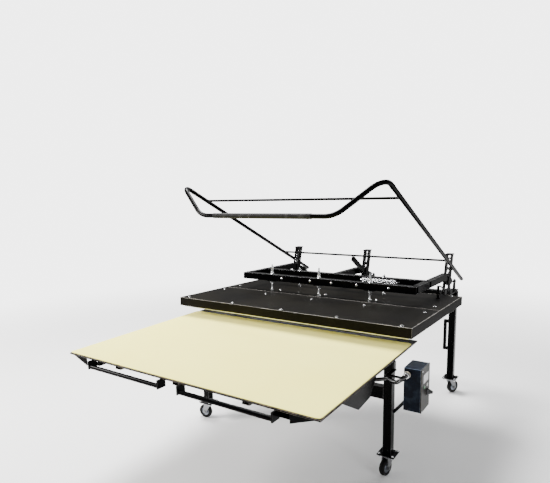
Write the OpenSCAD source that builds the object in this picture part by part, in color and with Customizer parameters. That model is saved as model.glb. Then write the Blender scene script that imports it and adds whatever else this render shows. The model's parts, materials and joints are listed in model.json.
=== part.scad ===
// Large-format manual heat press on casters: a hinged heated head, a long pull-down handle that
// closes it through three crank-and-link sets, and a padded table that slides out to the front.
// Working frame: X to the right, Y to the back from the head's front edge, Z up from the floor.

/* [Head] */
// Width of the head cover
cover_w = 1676; // [1640:2:1690]
// Depth of the head cover, front to back
cover_d = 1152; // [1120:2:1160]
// Height of the cover's skirt
skirt_h = 60; // [50:1:66]
// Sheet thickness of the cover
sheet_t = 3; // [2:0.5:4]
// Thickness of the heated platen
platen_t = 19; // [14:1:22]
// Angle that the head stands open
open_angle = 2.06; // [1:0.02:2.4]

/* [Pressure frame] */
// Height of the pressure bars
bar_h = 50; // [44:1:54]
// Front to back width of the pressure bars
bar_w = 50; // [44:1:54]
// Front face of the front pressure bar
bar_front_y = 589; // [570:1:610]
// Front face of the rear pressure bar
bar_rear_y = 890; // [880:1:900]
// Clear height between the cover and the pressure bars
bar_lift = 80; // [74:1:90]

/* [Table] */
// Width of the table
table_w = 1598; // [1560:2:1600]
// Depth of the table, front to back
table_d = 1154; // [1120:2:1160]
// Height of the pad's top above the floor
table_top = 810; // [808:1:811]
// Thickness of the pad
pad_t = 6; // [4:0.5:8]
// Thickness of the table's metal plate
tray_h = 8; // [6:0.5:10]
// How far the table stands pulled out
table_out = 1007; // [900:1:1010]

/* [Frame] */
// Outside width of the square leg tube
leg_w = 51; // [46:1:52]
// Wall of the leg tube
leg_wall = 3; // [2:0.5:5]
// Distance of the leg centres from the middle
leg_x = 686; // [680:1:687]
// Front legs, centre
leg_front_y = 98; // [90:1:110]
// Rear legs, centre
leg_rear_y = 1555; // [1545:1:1565]
// Height of the uprights' top cap
upright_top = 1160; // [1150:1:1170]

/* [Casters] */
// Radius of a caster wheel
wheel_r = 50.8; // [48:0.2:50.8]
// Width of a caster wheel
wheel_w = 32; // [26:1:34]
// Trail of the wheel behind the swivel axis
caster_trail = 26; // [18:1:30]
// Top of the caster's plate
caster_top = 127; // [126:0.5:128]

/* [Handle] */
// Radius of the handle tube
handle_r = 14; // [12:0.5:14.5]
// Slope of the handle arms
arm_slope = 24.7; // [24:0.1:25.4]
// Distance of the handle arms from the middle
arm_x = 704; // [703:0.5:710]
// Half the length of the hand grip bar
grip_half = 466; // [440:1:480]
// Turn of the handle from open to closed
handle_turn = 22.5; // [20:0.1:22.8]

/* [Control box] */
// Width of the control box
box_w = 85; // [80:1:95]
// Depth of the control box, front to back
box_d = 140; // [130:1:150]
// Height of the control box
box_h = 231; // [220:1:240]

/* [Hidden] */
$fn = 32;

black = [0.05, 0.05, 0.05];
steel = [0.75, 0.76, 0.78];
zinc = [0.62, 0.62, 0.6];
navy = [0.07, 0.11, 0.18];
grey = [0.45, 0.44, 0.4];
cream = [0.96, 0.92, 0.75];

// The head, in its closed and level position
skirt_z = table_top + 12;
cover_z = skirt_z + skirt_h;
platen_z = table_top + 2;
bar_z = cover_z + bar_lift;
seam_y = cover_d * 0.492;
bar_half = 680;
post_x = 665;
post_xs = [-post_x, 0, post_x];
stud_xs = [-425, -25, 362];
rear_stud_xs = [-350, 350];
bolt_xs = [-0.4612, -0.2306, 0, 0.2306, 0.4612] * cover_w;
bolt_ys = [31, 457, 677, cover_d - 31];

// The pivots: head hinge, handle shaft, crank pin and link pin
hinge_y = 1580;
hinge_z = 925;
shaft_y = 1462;
shaft_z = 1045;
shaft_r = 12;
crank_r = 40;
pin_r = 7;
crank_y = shaft_y - crank_r * sin(handle_turn);
crank_z = shaft_z - crank_r * cos(handle_turn);
run_fit = 0.05;
slack = 2;
// Rise of the link pin above the hinge's height with the press open
link_rise = 4.24;

// The handle
bow_y = -67;
bow_z = 1748;
tail_len = 1975;
grip_y = -174;
grip_z = 1549;
cross_upper = 278;
cross_lower = 1470;
cross_r = 8;
tube_wall = 3;
arm_dir = [0, cos(arm_slope), -sin(arm_slope)];

// Table and slides
tray_z = table_top - pad_t - tray_h;
table_y = -table_out;
rear_apron = 90;
bar_end_y = 1130;
channel_h = 42;
channel_top = tray_z - 2;
channel_x = 724;
channel_w = 66;
channel_wall = 4;
channel_rear = 500;
slide_gap = 3;
pad_clear = 0.3;

// Frame
plate_t = 6;
leg_base = caster_top + plate_t;
leg_rear_top = 790;
front_tube_z = 468;
rear_tube_z = 680;
tube_h = 76;
leg_front_top = tray_z - 4;
beam_z = 850;
cap_t = 10;
cheek_t = 8;
cheek_gap = 28;
cheek_d = 62;
cheek_foot_y = 1400;
cheek_top_y = 1482;
foot_w = 104;
foot_bolt = 40;

// Control box
box_x = 850;
box_y = -160;
box_z = 541;
panel_t = 6;
panel_y = box_y + 12;
panel_d = box_d - 24;
knob_z = box_z + 88;
knob_y = box_y + box_d - 42;
key_z = box_z + 128;
key_ys = [box_y + box_d / 2 - 24, box_y + box_d / 2 + 24];

// The casters stand at these places, turned to these headings
feet = [[-leg_x, leg_front_y, 190], [leg_x, leg_front_y, 258],
  [-leg_x, leg_rear_y, 120], [leg_x, leg_rear_y, 60]];

// Middle of the bounding box, which is put at the origin
knob_len = 29;
reach_right = box_x + box_w + panel_t + 1 + knob_len;
reach_left = cover_w / 2;
reach_back = bow_y + tail_len * cos(arm_slope) + handle_r;
pull_reach = 28;
mid_x = (reach_right - reach_left) / 2;
mid_y = (reach_back - table_out - pull_reach) / 2;

module row() {
  translate([-mid_x, -mid_y, 0]) children();
}

// Lifts the level head to where it stands open
module raised() {
  translate([0, hinge_y, hinge_z])
    rotate([-open_angle, 0, 0])
      translate([0, -hinge_y, -hinge_z])
        children();
}

module block(lo, hi) {
  translate(lo) cube(hi - lo);
}

module x_rod(x0, x1, y, z, r) {
  translate([x0, y, z]) rotate([0, 90, 0]) cylinder(h = x1 - x0, r = r);
}

module z_rod(x, y, z0, z1, r) {
  translate([x, y, z0]) cylinder(h = z1 - z0, r = r);
}

module hex_x(x0, x1, y, z, r) {
  translate([x0, y, z]) rotate([0, 90, 0]) cylinder(h = x1 - x0, r = r, $fn = 6);
}

module hex_z(x, y, z0, z1, r) {
  translate([x, y, z0]) cylinder(h = z1 - z0, r = r, $fn = 6);
}

module both_sides() {
  children();
  mirror([1, 0, 0]) children();
}

// Turns a part that is drawn outside the legs round to their inner side
module inboard() {
  translate([2 * leg_x, 0, 0]) mirror([1, 0, 0]) children();
}

// A plate that lies in the Y-Z plane, from x0 to x1
module side_plate(x0, x1) {
  translate([x0, 0, 0])
    rotate([90, 0, 90])
      linear_extrude(height = x1 - x0)
        children();
}

// A round rod from a to b
module rod(a, b, r) {
  d = b - a;
  len = norm(d);
  translate(a)
    rotate([0, acos(d[2] / len), atan2(d[1], d[0])])
      cylinder(h = len, r = r);
}

// A round bar's bend at c, on its way from a to b, which takes up the length t on each side of c
module bend(a, c, b, t, r) {
  u = (a - c) / norm(a - c);
  v = (b - c) / norm(b - c);
  half = acos(u * v) / 2;
  bend_r = t * tan(half);
  middle = c + (u + v) / norm(u + v) * bend_r / sin(half);
  ex = (c + u * t - middle) / bend_r;
  ez = cross(ex, -u);
  multmatrix([[ex[0], -u[0], ez[0], middle[0]], [ex[1], -u[1], ez[1], middle[1]],
    [ex[2], -u[2], ez[2], middle[2]], [0, 0, 0, 1]])
    rotate_extrude(angle = 180 - 2 * half) translate([bend_r, 0]) circle(r = r);
}

function flip(p) = [-p[0], p[1], p[2]];
function toward(c, p, t) = c + (p - c) / norm(p - c) * t;

// A round bar through points, bent at every inner point i over the length ts[i] on each side.
// The straights run a little way into the bends, which are a little thicker.
module bent_rod(points, ts, r) {
  into = 1;
  last = len(points) - 1;
  for (i = [1 : last])
    rod(toward(points[i - 1], points[i], max(ts[i - 1] - into, 0)),
      toward(points[i], points[i - 1], max(ts[i] - into, 0)), r);
  for (i = [1 : last - 1])
    bend(points[i - 1], points[i], points[i + 1], ts[i], r + 0.3);
}

// ---------- fixed frame ----------

module square_tube(x, y, z0, z1) {
  difference() {
    block([x - leg_w / 2, y - leg_w / 2, z0], [x + leg_w / 2, y + leg_w / 2, z1]);
    block([x - leg_w / 2 + leg_wall, y - leg_w / 2 + leg_wall, z0 - 1],
      [x + leg_w / 2 - leg_wall, y + leg_w / 2 - leg_wall, z1 + 1]);
  }
}

module front_legs() {
  color(black) row() both_sides() square_tube(leg_x, leg_front_y, leg_base, leg_front_top);
}

module rear_legs() {
  color(black) row() both_sides() square_tube(leg_x, leg_rear_y, leg_base, leg_rear_top);
}

module foot_holes(r, z0, z1) {
  for (sx = [-1, 1]) {
    for (sy = [-1, 1]) {
      z_rod(sx * foot_bolt, sy * foot_bolt, z0, z1, r);
    }
  }
}

module foot_plates() {
  color(black) row() for (f = feet) {
    translate([f[0], f[1], 0]) difference() {
      block([-foot_w / 2, -foot_w / 2, caster_top], [foot_w / 2, foot_w / 2, leg_base]);
      foot_holes(4.5, caster_top - 1, leg_base + 1);
    }
  }
}

module caster_plates() {
  color(zinc) row() for (f = feet) {
    translate([f[0], f[1], 0]) difference() {
      union() {
        block([-48, -48, caster_top - 4], [48, 48, caster_top]);
        z_rod(0, 0, caster_top - 12, caster_top - 4, 20);
      }
      foot_holes(4.5, caster_top - 5, caster_top + 1);
    }
  }
}

module caster_bolts() {
  color(steel) row() for (f = feet) {
    translate([f[0], f[1], 0]) for (sx = [-1, 1]) for (sy = [-1, 1]) {
      translate([sx * foot_bolt, sy * foot_bolt, 0]) {
        z_rod(0, 0, caster_top - 9, leg_base + 1, 4);
        hex_z(0, 0, leg_base, leg_base + 5, 7.5);
        hex_z(0, 0, caster_top - 10, caster_top - 4, 7.5);
      }
    }
  }
}

// The front tube is low, and the rear one is just under the slide bars
module cross_tubes() {
  half = leg_x - leg_w / 2;
  color(black) row() for (place = [[leg_front_y, front_tube_z], [leg_rear_y, rear_tube_z]]) {
    y = place[0];
    z = place[1];
    difference() {
      block([-half, y - leg_w / 2, z], [half, y + leg_w / 2, z + tube_h]);
      block([-half - 1, y - leg_w / 2 + leg_wall, z + leg_wall],
        [half + 1, y + leg_w / 2 - leg_wall, z + tube_h - leg_wall]);
    }
  }
}

module rear_top_beam() {
  half = post_x + 52;
  color(black) row() {
    difference() {
      block([-half, leg_rear_y - 26, leg_rear_top], [half, leg_rear_y + 26, beam_z]);
      block([-half - 1, leg_rear_y - 22, leg_rear_top + 4],
        [half + 1, leg_rear_y + 22, beam_z - 4]);
    }
    for (x = post_xs) {
      block([x - 45, cheek_foot_y - 55, beam_z], [x + 45, hinge_y + 32, beam_z + cap_t]);
      block([x - 5, cheek_foot_y - 40, leg_rear_top + 6], [x + 5, leg_rear_y - 26, beam_z]);
      for (sx = [-1, 1]) hinge_ear(x + sx * 19);
    }
  }
}

// One ear of the hinge clevis behind an upright
module hinge_ear(x) {
  side_plate(x - 5, x + 5) difference() {
    union() {
      polygon([[hinge_y - 34, beam_z + cap_t], [hinge_y + 28, beam_z + cap_t],
        [hinge_y + 20, hinge_z], [hinge_y - 20, hinge_z]]);
      translate([hinge_y, hinge_z]) circle(r = 20);
    }
    translate([hinge_y, hinge_z]) circle(r = pin_r + 1);
  }
}

// A wide bar under each side of the table, and a narrow tail that ties it to the rear leg
module slide_bars() {
  y0 = leg_front_y - 30;
  y1 = leg_rear_y + 26;
  x0 = leg_x + leg_w / 2;
  x1 = channel_x + channel_w - 12;
  z1 = channel_top - channel_wall - slide_gap;
  z0 = channel_top - channel_h + channel_wall + slide_gap;
  color(black) row() both_sides() inboard() difference() {
    union() {
      block([x0, y0, z0], [x1, bar_end_y, z1]);
      block([x0, bar_end_y - 20, z0], [x0 + 24, y1, z1]);
    }
    block([x0 + 4, y0 - 1, z0 + 4], [x1 - 4, bar_end_y - 4, z1 - 4]);
  }
}

module slide_pads() {
  z1 = channel_top - channel_wall - slide_gap;
  z0 = channel_top - channel_h + channel_wall + slide_gap;
  color([0.9, 0.9, 0.86]) row() both_sides() inboard() for (y = [leg_front_y - 20, 260, 430]) {
    block([channel_x + 8, y, z1], [channel_x + 48, y + 50, z1 + slide_gap - pad_clear]);
    block([channel_x + 8, y, z0 - slide_gap + pad_clear], [channel_x + 48, y + 50, z0]);
  }
}

module cheek(x) {
  z0 = beam_z + cap_t;
  z1 = upright_top - cap_t;
  side_plate(x - cheek_t / 2, x + cheek_t / 2) difference() {
    polygon([[cheek_foot_y - cheek_d / 2, z0], [cheek_foot_y + cheek_d / 2, z0],
      [cheek_top_y + cheek_d / 2, z1], [cheek_top_y - cheek_d / 2, z1]]);
    translate([shaft_y, shaft_z]) circle(r = shaft_r + run_fit);
    translate([cheek_top_y - 8, z1 - 26]) circle(r = pin_r);
  }
}

module uprights() {
  color(black) row() for (x = post_xs) {
    for (sx = [-1, 1]) cheek(x + sx * (cheek_gap / 2 + cheek_t / 2));
    block([x - 26, cheek_top_y - cheek_d / 2 - 3, upright_top - cap_t],
      [x + 26, cheek_top_y + cheek_d / 2 + 3, upright_top]);
  }
}

// Top pins through the cheeks and hinge pins through the clevis ears
module pivot_pins() {
  color(steel) row() for (x = post_xs) {
    x_rod(x - 25, x + 25, cheek_top_y - 8, upright_top - cap_t - 26, pin_r);
    x_rod(x - 30, x + 30, hinge_y, hinge_z, pin_r + 1);
    for (sx = [-1, 1]) {
      x0 = x + sx * 27;
      hex_x(x0 - 3, x0 + 3, hinge_y, hinge_z, 14);
    }
  }
}

module lift_springs() {
  top = upright_top - cap_t - 26;
  color(steel) row() for (x = post_xs) {
    side = x < 0 ? 7 : -7;
    rod([x + side, cheek_top_y - 24, top - 10], [x + side, cheek_top_y - 52, 1018], 5.5);
  }
}

// Flat loop that stands out from the inner side of the right rear leg
module leg_loop() {
  x1 = leg_x - leg_w / 2;
  x0 = x1 - 38;
  y = leg_rear_y - 12;
  color(black) row() difference() {
    block([x0, y, 362], [x1, y + 24, 612]);
    block([x0 + 22, y - 1, 386], [x1 + 1, y + 25, 588]);
  }
}

// ---------- control box ----------

module box_bracket() {
  leg_side = leg_x + leg_w / 2;
  bar_y = box_y + box_d - 22;
  color(black) row() {
    block([leg_side, leg_front_y - 20, 640], [leg_side + 6, leg_front_y + 20, 700]);
    block([leg_side, bar_y, 660], [leg_side + 24, leg_front_y - 20, 666]);
    block([leg_side, bar_y, 660], [box_x, bar_y + 22, 666]);
    rod([leg_side + 9, leg_front_y - 8, 402], [box_x - 11, box_y + 90, box_z + 20], 9);
    block([box_x - 12, box_y + 74, box_z + 4], [box_x, box_y + 106, box_z + 36]);
  }
}

// Conduit from the front cross tube, past the leg, into the front of the control box
module conduit() {
  end_x = box_x + 18;
  end_z = box_z + 196;
  color(black) row()
    bent_rod([[480, leg_front_y, front_tube_z + tube_h], [480, leg_front_y, 576], [600, 57, 580], [690, 57, 608],
      [780, -64, 640], [end_x, -225, end_z], [end_x, box_y, end_z]],
      [0, 20, 40, 30, 60, 55, 0], 12);
}

module control_box() {
  wall = 2.5;
  color(navy) row() difference() {
    block([box_x, box_y, box_z], [box_x + box_w, box_y + box_d, box_z + box_h]);
    block([box_x + wall, box_y + wall, box_z + wall],
      [box_x + box_w + 1, box_y + box_d - wall, box_z + box_h - wall]);
  }
}

module control_panel() {
  x0 = box_x + box_w;
  color(grey) row() difference() {
    block([x0, box_y - 1, box_z - 1], [x0 + panel_t, box_y + box_d + 1, box_z + box_h + 1]);
    block([x0 + panel_t - 1.5, panel_y + 16, box_z + 150],
      [x0 + panel_t + 1, panel_y + panel_d - 16, box_z + 196]);
    x_rod(x0 - 1, x0 + panel_t + 1, knob_y, knob_z, 6.5);
    for (y = key_ys) x_rod(x0 - 1, x0 + panel_t + 1, y, key_z, 8.5);
  }
}

module display_window() {
  x0 = box_x + box_w + panel_t;
  color([0.1, 0.12, 0.12]) row()
    block([x0 - 1.5, panel_y + 16, box_z + 150], [x0 + 1, panel_y + panel_d - 16, box_z + 196]);
}

module panel_screws() {
  x0 = box_x + box_w + panel_t;
  color(steel) row() for (y = [box_y + 8, box_y + box_d - 8]) for (z = [8, box_h - 8]) {
    x_rod(x0, x0 + 2.5, y, box_z + z, 4.5);
  }
}

module main_knob() {
  x0 = box_x + box_w;
  color(black) row() {
    x_rod(x0 - 12, x0 + panel_t + 3, knob_y, knob_z, 6.4);
    translate([x0 + panel_t + 1, knob_y, knob_z]) rotate([0, 90, 0]) cylinder(h = knob_len, r1 = 20, r2 = 7);
  }
}

module panel_key(y) {
  x0 = box_x + box_w;
  x_rod(x0 - 6, x0 + panel_t + 3, y, key_z, 8);
  x_rod(x0 - 8, x0 - 4, y, key_z, 10.5);
}

module start_key() {
  color([0.2, 0.5, 0.25]) row() panel_key(key_ys[0]);
}

module set_key() {
  color([0.75, 0.75, 0.72]) row() panel_key(key_ys[1]);
}

// ---------- head ----------

module cover_sheet(y0, y1) {
  difference() {
    block([-cover_w / 2 + sheet_t, y0, cover_z - sheet_t], [cover_w / 2 - sheet_t, y1, cover_z]);
    for (x = bolt_xs) for (y = bolt_ys) z_rod(x, y, cover_z - 10, cover_z + 1, 4.5);
  }
}

module cover_front() {
  color(black) row() raised() cover_sheet(sheet_t, seam_y - 1);
}

module cover_rear() {
  color(black) row() raised() cover_sheet(seam_y + 1, cover_d - sheet_t);
}

module cover_skirt() {
  color(black) row() raised() difference() {
    block([-cover_w / 2, 0, skirt_z], [cover_w / 2, cover_d, cover_z]);
    block([-cover_w / 2 + sheet_t, sheet_t, skirt_z - 1],
      [cover_w / 2 - sheet_t, cover_d - sheet_t, cover_z + 1]);
  }
}

module cover_bolts() {
  color(steel) row() raised() for (x = bolt_xs) for (y = bolt_ys) {
    hex_z(x, y, cover_z + 1.5, cover_z + 7, 8.5);
    z_rod(x, y, cover_z, cover_z + 1.5, 12);
    z_rod(x, y, cover_z - 24, cover_z, 4);
  }
}

module heat_platen() {
  color([0.7, 0.7, 0.72]) row() raised()
    block([-cover_w / 2 + 22, 22, platen_z], [cover_w / 2 - 22, cover_d - 22, platen_z + platen_t]);
}

module insulation() {
  z0 = platen_z + platen_t;
  color([0.85, 0.83, 0.75]) row() raised() difference() {
    block([-cover_w / 2 + 24, 24, z0], [cover_w / 2 - 24, cover_d - 24, cover_z - sheet_t]);
    for (x = bolt_xs) for (y = bolt_ys) z_rod(x, y, cover_z - 25, cover_z, 4.5);
  }
}

module press_bars() {
  color(black) row() raised() for (y = [bar_front_y, bar_rear_y]) difference() {
    union() {
      block([-bar_half, y, bar_z], [bar_half, y + bar_w, bar_z + bar_h]);
      for (x = y == bar_front_y ? stud_xs : rear_stud_xs)
        block([x - 38, y + 3, bar_z - 6], [x + 38, y + bar_w - 3, bar_z]);
    }
    block([-bar_half - 1, y + 4, bar_z + 4], [bar_half + 1, y + bar_w - 4, bar_z + bar_h - 4]);
    if (y == bar_front_y) for (x = stud_xs) z_rod(x, y + bar_w / 2, bar_z - 7, bar_z + bar_h + 1, 9);
    if (y == bar_rear_y) for (x = rear_stud_xs) z_rod(x, y + bar_w / 2, bar_z - 7, bar_z + bar_h + 1, 9);
  }
}

module arm_tube(x0, x1, y0, y1) {
  difference() {
    block([x0, y0, bar_z], [x1, y1, bar_z + bar_h]);
    block([x0 + 4, y0 - 1, bar_z + 4], [x1 - 4, y1 + 1, bar_z + bar_h - 4]);
  }
}

module press_arms() {
  mid = bar_front_y + bar_w;
  rear = bar_rear_y + bar_w;
  color(black) row() raised() {
    for (sx = [-1, 1]) {
      x0 = min(sx * bar_half, sx * (bar_half - 40));
      arm_tube(x0, x0 + 40, mid, bar_rear_y);
      arm_tube(x0, x0 + 40, rear, 1372);
    }
    arm_tube(-62, -22, rear, 1372);
  }
}

// Plate between the end of a head arm and its hinge, with an eye for the link pin
module hinge_lug(x0) {
  side_plate(x0, x0 + 10) difference() {
    union() {
      polygon([[1310, bar_z + 4], [1310, bar_z + bar_h - 4], [1400, bar_z + bar_h - 4],
        [hinge_y + 6, hinge_z + 23], [hinge_y, hinge_z - 23], [shaft_y, hinge_z - 20], [1400, 935],
        [1374, bar_z - 8], [1374, bar_z + 4]]);
      translate([hinge_y, hinge_z]) circle(r = 24);
      translate([shaft_y, hinge_z]) circle(r = 20);
    }
    translate([hinge_y, hinge_z]) circle(r = pin_r + 1 + run_fit);
    translate([shaft_y, hinge_z]) circle(r = pin_r);
  }
}

module hinge_lugs() {
  color(black) row() raised() {
    for (x = [-post_x + 2, -12, post_x - 12]) hinge_lug(x);
    block([-62, 1372, bar_z + 4], [-2, 1382, bar_z + bar_h - 4]);
  }
}

module link_pins() {
  color(steel) row() raised() {
    x_rod(post_x - 13, post_x + 7.5, shaft_y, hinge_z, pin_r);
    x_rod(-post_x - 7.5, -post_x + 13, shaft_y, hinge_z, pin_r);
    x_rod(-13, 7.5, shaft_y, hinge_z, pin_r);
  }
}

// A stud with its foot on the cover, up to a height above the bar
module stud(x, y, above) {
  z_rod(x, y, cover_z + 14, bar_z + bar_h + above, 6);
  z_rod(x, y, cover_z, cover_z + 14, 13);
}

module pressure_studs() {
  color(steel) row() raised() {
    for (x = stud_xs) stud(x, bar_front_y + bar_w / 2, 76);
    for (x = rear_stud_xs) stud(x, bar_rear_y + bar_w / 2, 22);
  }
}

// Collar under the bar; washer, cone of the given height and nut above it
module nut_stack(x, y, cone) {
  top = bar_z + bar_h;
  difference() {
    union() {
      z_rod(x, y, bar_z - 20, bar_z - 6, 15);
      z_rod(x, y, top, top + 3, 18);
      if (cone > 0) translate([x, y, top + 3]) cylinder(h = cone, r1 = 15, r2 = 8);
      hex_z(x, y, top + 3 + cone, top + 12 + cone, 10);
    }
    z_rod(x, y, bar_z - 25, top + 60, 6 + run_fit);
  }
}

module stud_nuts() {
  color(steel) row() raised() {
    for (x = stud_xs) nut_stack(x, bar_front_y + bar_w / 2, 40);
    for (x = rear_stud_xs) nut_stack(x, bar_rear_y + bar_w / 2, 0);
  }
}

module bar_bolts() {
  z = bar_z + bar_h / 2;
  color(steel) row() raised() for (x = [-325, -85, 85, 275, 500]) {
    translate([x, bar_front_y, z]) rotate([90, 0, 0]) {
      cylinder(h = 1.5, r = 9);
      translate([0, 0, 1.5]) cylinder(h = 5, r = 6.5, $fn = 6);
    }
  }
}

spring_x0 = 195;
spring_x1 = 462;
spring_y = bar_rear_y - 24;
spring_z = bar_z + 24;

// Coil spring along the rear pressure bar, with the two eye bolts that hold its ends
module frame_spring() {
  color(steel) row() raised() {
    x_rod(spring_x0, spring_x1, spring_y, spring_z, 18);
    for (x = [spring_x0 - 12, spring_x1 + 4]) {
      block([x, spring_y - 8, spring_z - 8], [x + 8, bar_rear_y, spring_z + 8]);
    }
    x_rod(spring_x0 - 4, spring_x0, spring_y, spring_z, 5);
    x_rod(spring_x1, spring_x1 + 4, spring_y, spring_z, 5);
  }
}

// Post on the cover for the heater lead, and its short held loop
module cable_post() {
  x = 715;
  y = 980;
  color(black) row() raised() {
    z_rod(x, y, cover_z, cover_z + 92, 9);
    translate([x + 7, y, cover_z + 62]) rotate([90, 0, 0]) rotate([0, 0, -115])
      rotate_extrude(angle = 230) translate([26, 0]) circle(r = 5);
  }
}

// ---------- handle ----------

function on_arm(x, s) = [x, bow_y, bow_z] + arm_dir * s;
bow_len = 120;

module handle_arms() {
  color(black) row() both_sides() {
    difference() {
      rod(on_arm(arm_x, bow_len), on_arm(arm_x, tail_len), handle_r);
      rod(on_arm(arm_x, bow_len - 1), on_arm(arm_x, tail_len - 2), handle_r - tube_wall);
    }
    translate(on_arm(arm_x, tail_len)) sphere(r = handle_r);
  }
}

module handle_bow() {
  start = on_arm(arm_x, bow_len);
  top = on_arm(arm_x, 0);
  grip = [grip_half, grip_y, grip_z];
  color(black) row()
    bent_rod([start, top, grip, flip(grip), flip(top), flip(start)], [0, 90, 60, 60, 90, 0], handle_r);
}

module grip_sleeve() {
  color(black) row() difference() {
    x_rod(-360, 330, grip_y, grip_z, handle_r + 3);
    x_rod(-361, 331, grip_y, grip_z, handle_r);
  }
}

module handle_crossbars() {
  half = arm_x - handle_r + 3;
  color(black) row() for (s = [cross_upper, cross_lower]) {
    p = on_arm(0, s);
    x_rod(-half, half, p[1], p[2], cross_r);
  }
}

// Crank plate around the shaft and the crank pin, as a flat outline in Y and Z
module crank_outline() {
  circle_at(shaft_y, shaft_z, 22);
  circle_at(crank_y, crank_z, 14);
  polygon([[shaft_y - 21, shaft_z - 4], [shaft_y + 21, shaft_z + 4],
    [crank_y + 13, crank_z - 5], [crank_y - 13.5, crank_z + 3]]);
}

module circle_at(y, z, r) {
  translate([y, z]) circle(r = r);
}

module crank(x) {
  side_plate(x + 7, x + 13) crank_outline();
  x_rod(x - 0.5, x + 8, crank_y, crank_z, pin_r);
}

module side_cranks() {
  color(steel) row() both_sides() {
    crank(post_x);
    x_rod(post_x - 25, arm_x, shaft_y, shaft_z, shaft_r);
  }
}

// Link from a crank pin to the link pin, which its lower eye holds loosely
module link(x) {
  y = shaft_y;
  z = hinge_z + link_rise;
  difference() {
    union() {
      x_rod(x, x + 5, crank_y, crank_z, 13);
      x_rod(x, x + 5, y, z, 15);
      side_plate(x, x + 5) polygon([[crank_y - 11, crank_z - 2], [crank_y + 11, crank_z + 2],
        [y + 11, z + 2], [y - 11, z - 2]]);
    }
    x_rod(x - 1, x + 6, crank_y, crank_z, pin_r + run_fit);
    x_rod(x - 1, x + 6, y, z, pin_r + slack);
  }
}

module side_links() {
  color(steel) row() both_sides() link(post_x);
}

module centre_link() {
  color(steel) row() link(0);
}

// Socket lever at the middle upright, with its own short shaft. Its plate runs between the cheeks.
module centre_lever() {
  color(black) row() {
    crank(0);
    x_rod(-25, 25, shaft_y, shaft_z, shaft_r);
    side_plate(7, 13) polygon([[shaft_y - 20, shaft_z - 20], [crank_y + 2, crank_z - 10],
      [1392, 970], [1320, 1010], [1335, 1038], [1370, 1010]]);
    translate([13, 1342, 1008.6]) rotate([-30.7, 0, 0])
      block([-12, -235, -17], [12, 0, 17]);
  }
}

// ---------- table ----------

module table_tray() {
  y1 = table_y + table_d;
  color(black) row() {
    block([-table_w / 2, table_y, tray_z], [table_w / 2, y1 + rear_apron, tray_z + tray_h]);
    for (x = [-420, 0, 420]) difference() {
      block([x - 20, table_y + 30, tray_z - 30], [x + 20, y1 - 20, tray_z]);
      block([x - 17, table_y + 29, tray_z - 27], [x + 17, y1 - 19, tray_z]);
    }
  }
}

module table_pad() {
  m = 2;
  color(cream) row() block([-table_w / 2 + m, table_y + m, tray_z + tray_h],
    [table_w / 2 - m, table_y + table_d - m, table_top]);
}

module table_channels() {
  x1 = channel_x + channel_w;
  z0 = channel_top - channel_h;
  color(black) row() both_sides() inboard() {
    difference() {
      block([channel_x, table_y + 34, z0], [x1, channel_rear, channel_top]);
      block([channel_x - 1, table_y + 33, z0 + channel_wall],
        [x1 - channel_wall, channel_rear + 1, channel_top - channel_wall]);
    }
    block([channel_x, table_y + 34, channel_top], [x1, table_y + table_d - 6, tray_z]);
  }
}

// A pull bar hung from the tray's front edge by two end brackets
module pull_handle(x0, x1) {
  y = table_y - 14;
  z = tray_z - 34;
  x_rod(x0, x1, y, z, 12);
  for (x = [x0, x1]) {
    block([x - 4, y - 14, z - 13], [x + 4, table_y + 30, tray_z]);
  }
}

module pull_handles() {
  color(black) row() {
    pull_handle(-600, -70);
    pull_handle(60, 590);
  }
}

module table_gussets() {
  color(black) row() both_sides() {
    side_plate(table_w / 2 - 8, table_w / 2 - 3)
      polygon([[-800, tray_z], [-620, 700], [-480, 712], [-400, tray_z]]);
    translate([706, table_y + 6, 0]) rotate([90, 0, 0]) translate([0, 0, -5])
      linear_extrude(height = 5) polygon([[-50, tray_z], [70, tray_z], [-50, tray_z - 46]]);
  }
}

// ---------- casters ----------

// Puts a caster's parts at foot i, trailing along its heading
module at_foot(i) {
  row() translate([feet[i][0], feet[i][1], 0]) rotate([0, 0, feet[i][2]]) children();
}

module fork(i) {
  crown = caster_top - 12;
  color(zinc) at_foot(i) {
    z_rod(0, 0, crown - 9.7, crown - 0.3, 29);
    for (sy = [-1, 1]) {
      y0 = sy > 0 ? wheel_w / 2 + 3 : -wheel_w / 2 - 7;
      translate([0, y0 + 4, 0]) rotate([90, 0, 0]) linear_extrude(height = 4) union() {
        polygon([[-26, crown - 1], [28, crown - 1],
          [caster_trail + 15, wheel_r], [caster_trail - 15, wheel_r]]);
        translate([caster_trail, wheel_r]) circle(r = 15);
      }
    }
    translate([caster_trail, wheel_w / 2 + 11, wheel_r]) rotate([90, 0, 0]) cylinder(h = wheel_w + 22, r = 6);
    for (sy = [-1, 1]) {
      translate([caster_trail, sy * (wheel_w / 2 + 10) + 3, wheel_r]) rotate([90, 0, 0])
        cylinder(h = 6, r = 9.5, $fn = 6);
    }
  }
}

module wheel(i) {
  color(black) at_foot(i) translate([caster_trail, 0, wheel_r]) rotate([90, 0, 0]) difference() {
    rotate_extrude() polygon([[6 + run_fit, -wheel_w / 2 - 2], [15, -wheel_w / 2 - 2],
      [16, -wheel_w / 2 + 3], [32, -wheel_w / 2 + 3], [34, -wheel_w / 2], [44, -wheel_w / 2],
      [wheel_r, -wheel_w / 2 + 7], [wheel_r, wheel_w / 2 - 7], [44, wheel_w / 2],
      [34, wheel_w / 2], [32, wheel_w / 2 - 3], [16, wheel_w / 2 - 3],
      [15, wheel_w / 2 + 2], [6 + run_fit, wheel_w / 2 + 2]]);
  }
}

module fork_front_left() { fork(0); }
module fork_front_right() { fork(1); }
module fork_rear_left() { fork(2); }
module fork_rear_right() { fork(3); }
module wheel_front_left() { wheel(0); }
module wheel_front_right() { wheel(1); }
module wheel_rear_left() { wheel(2); }
module wheel_rear_right() { wheel(3); }

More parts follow.
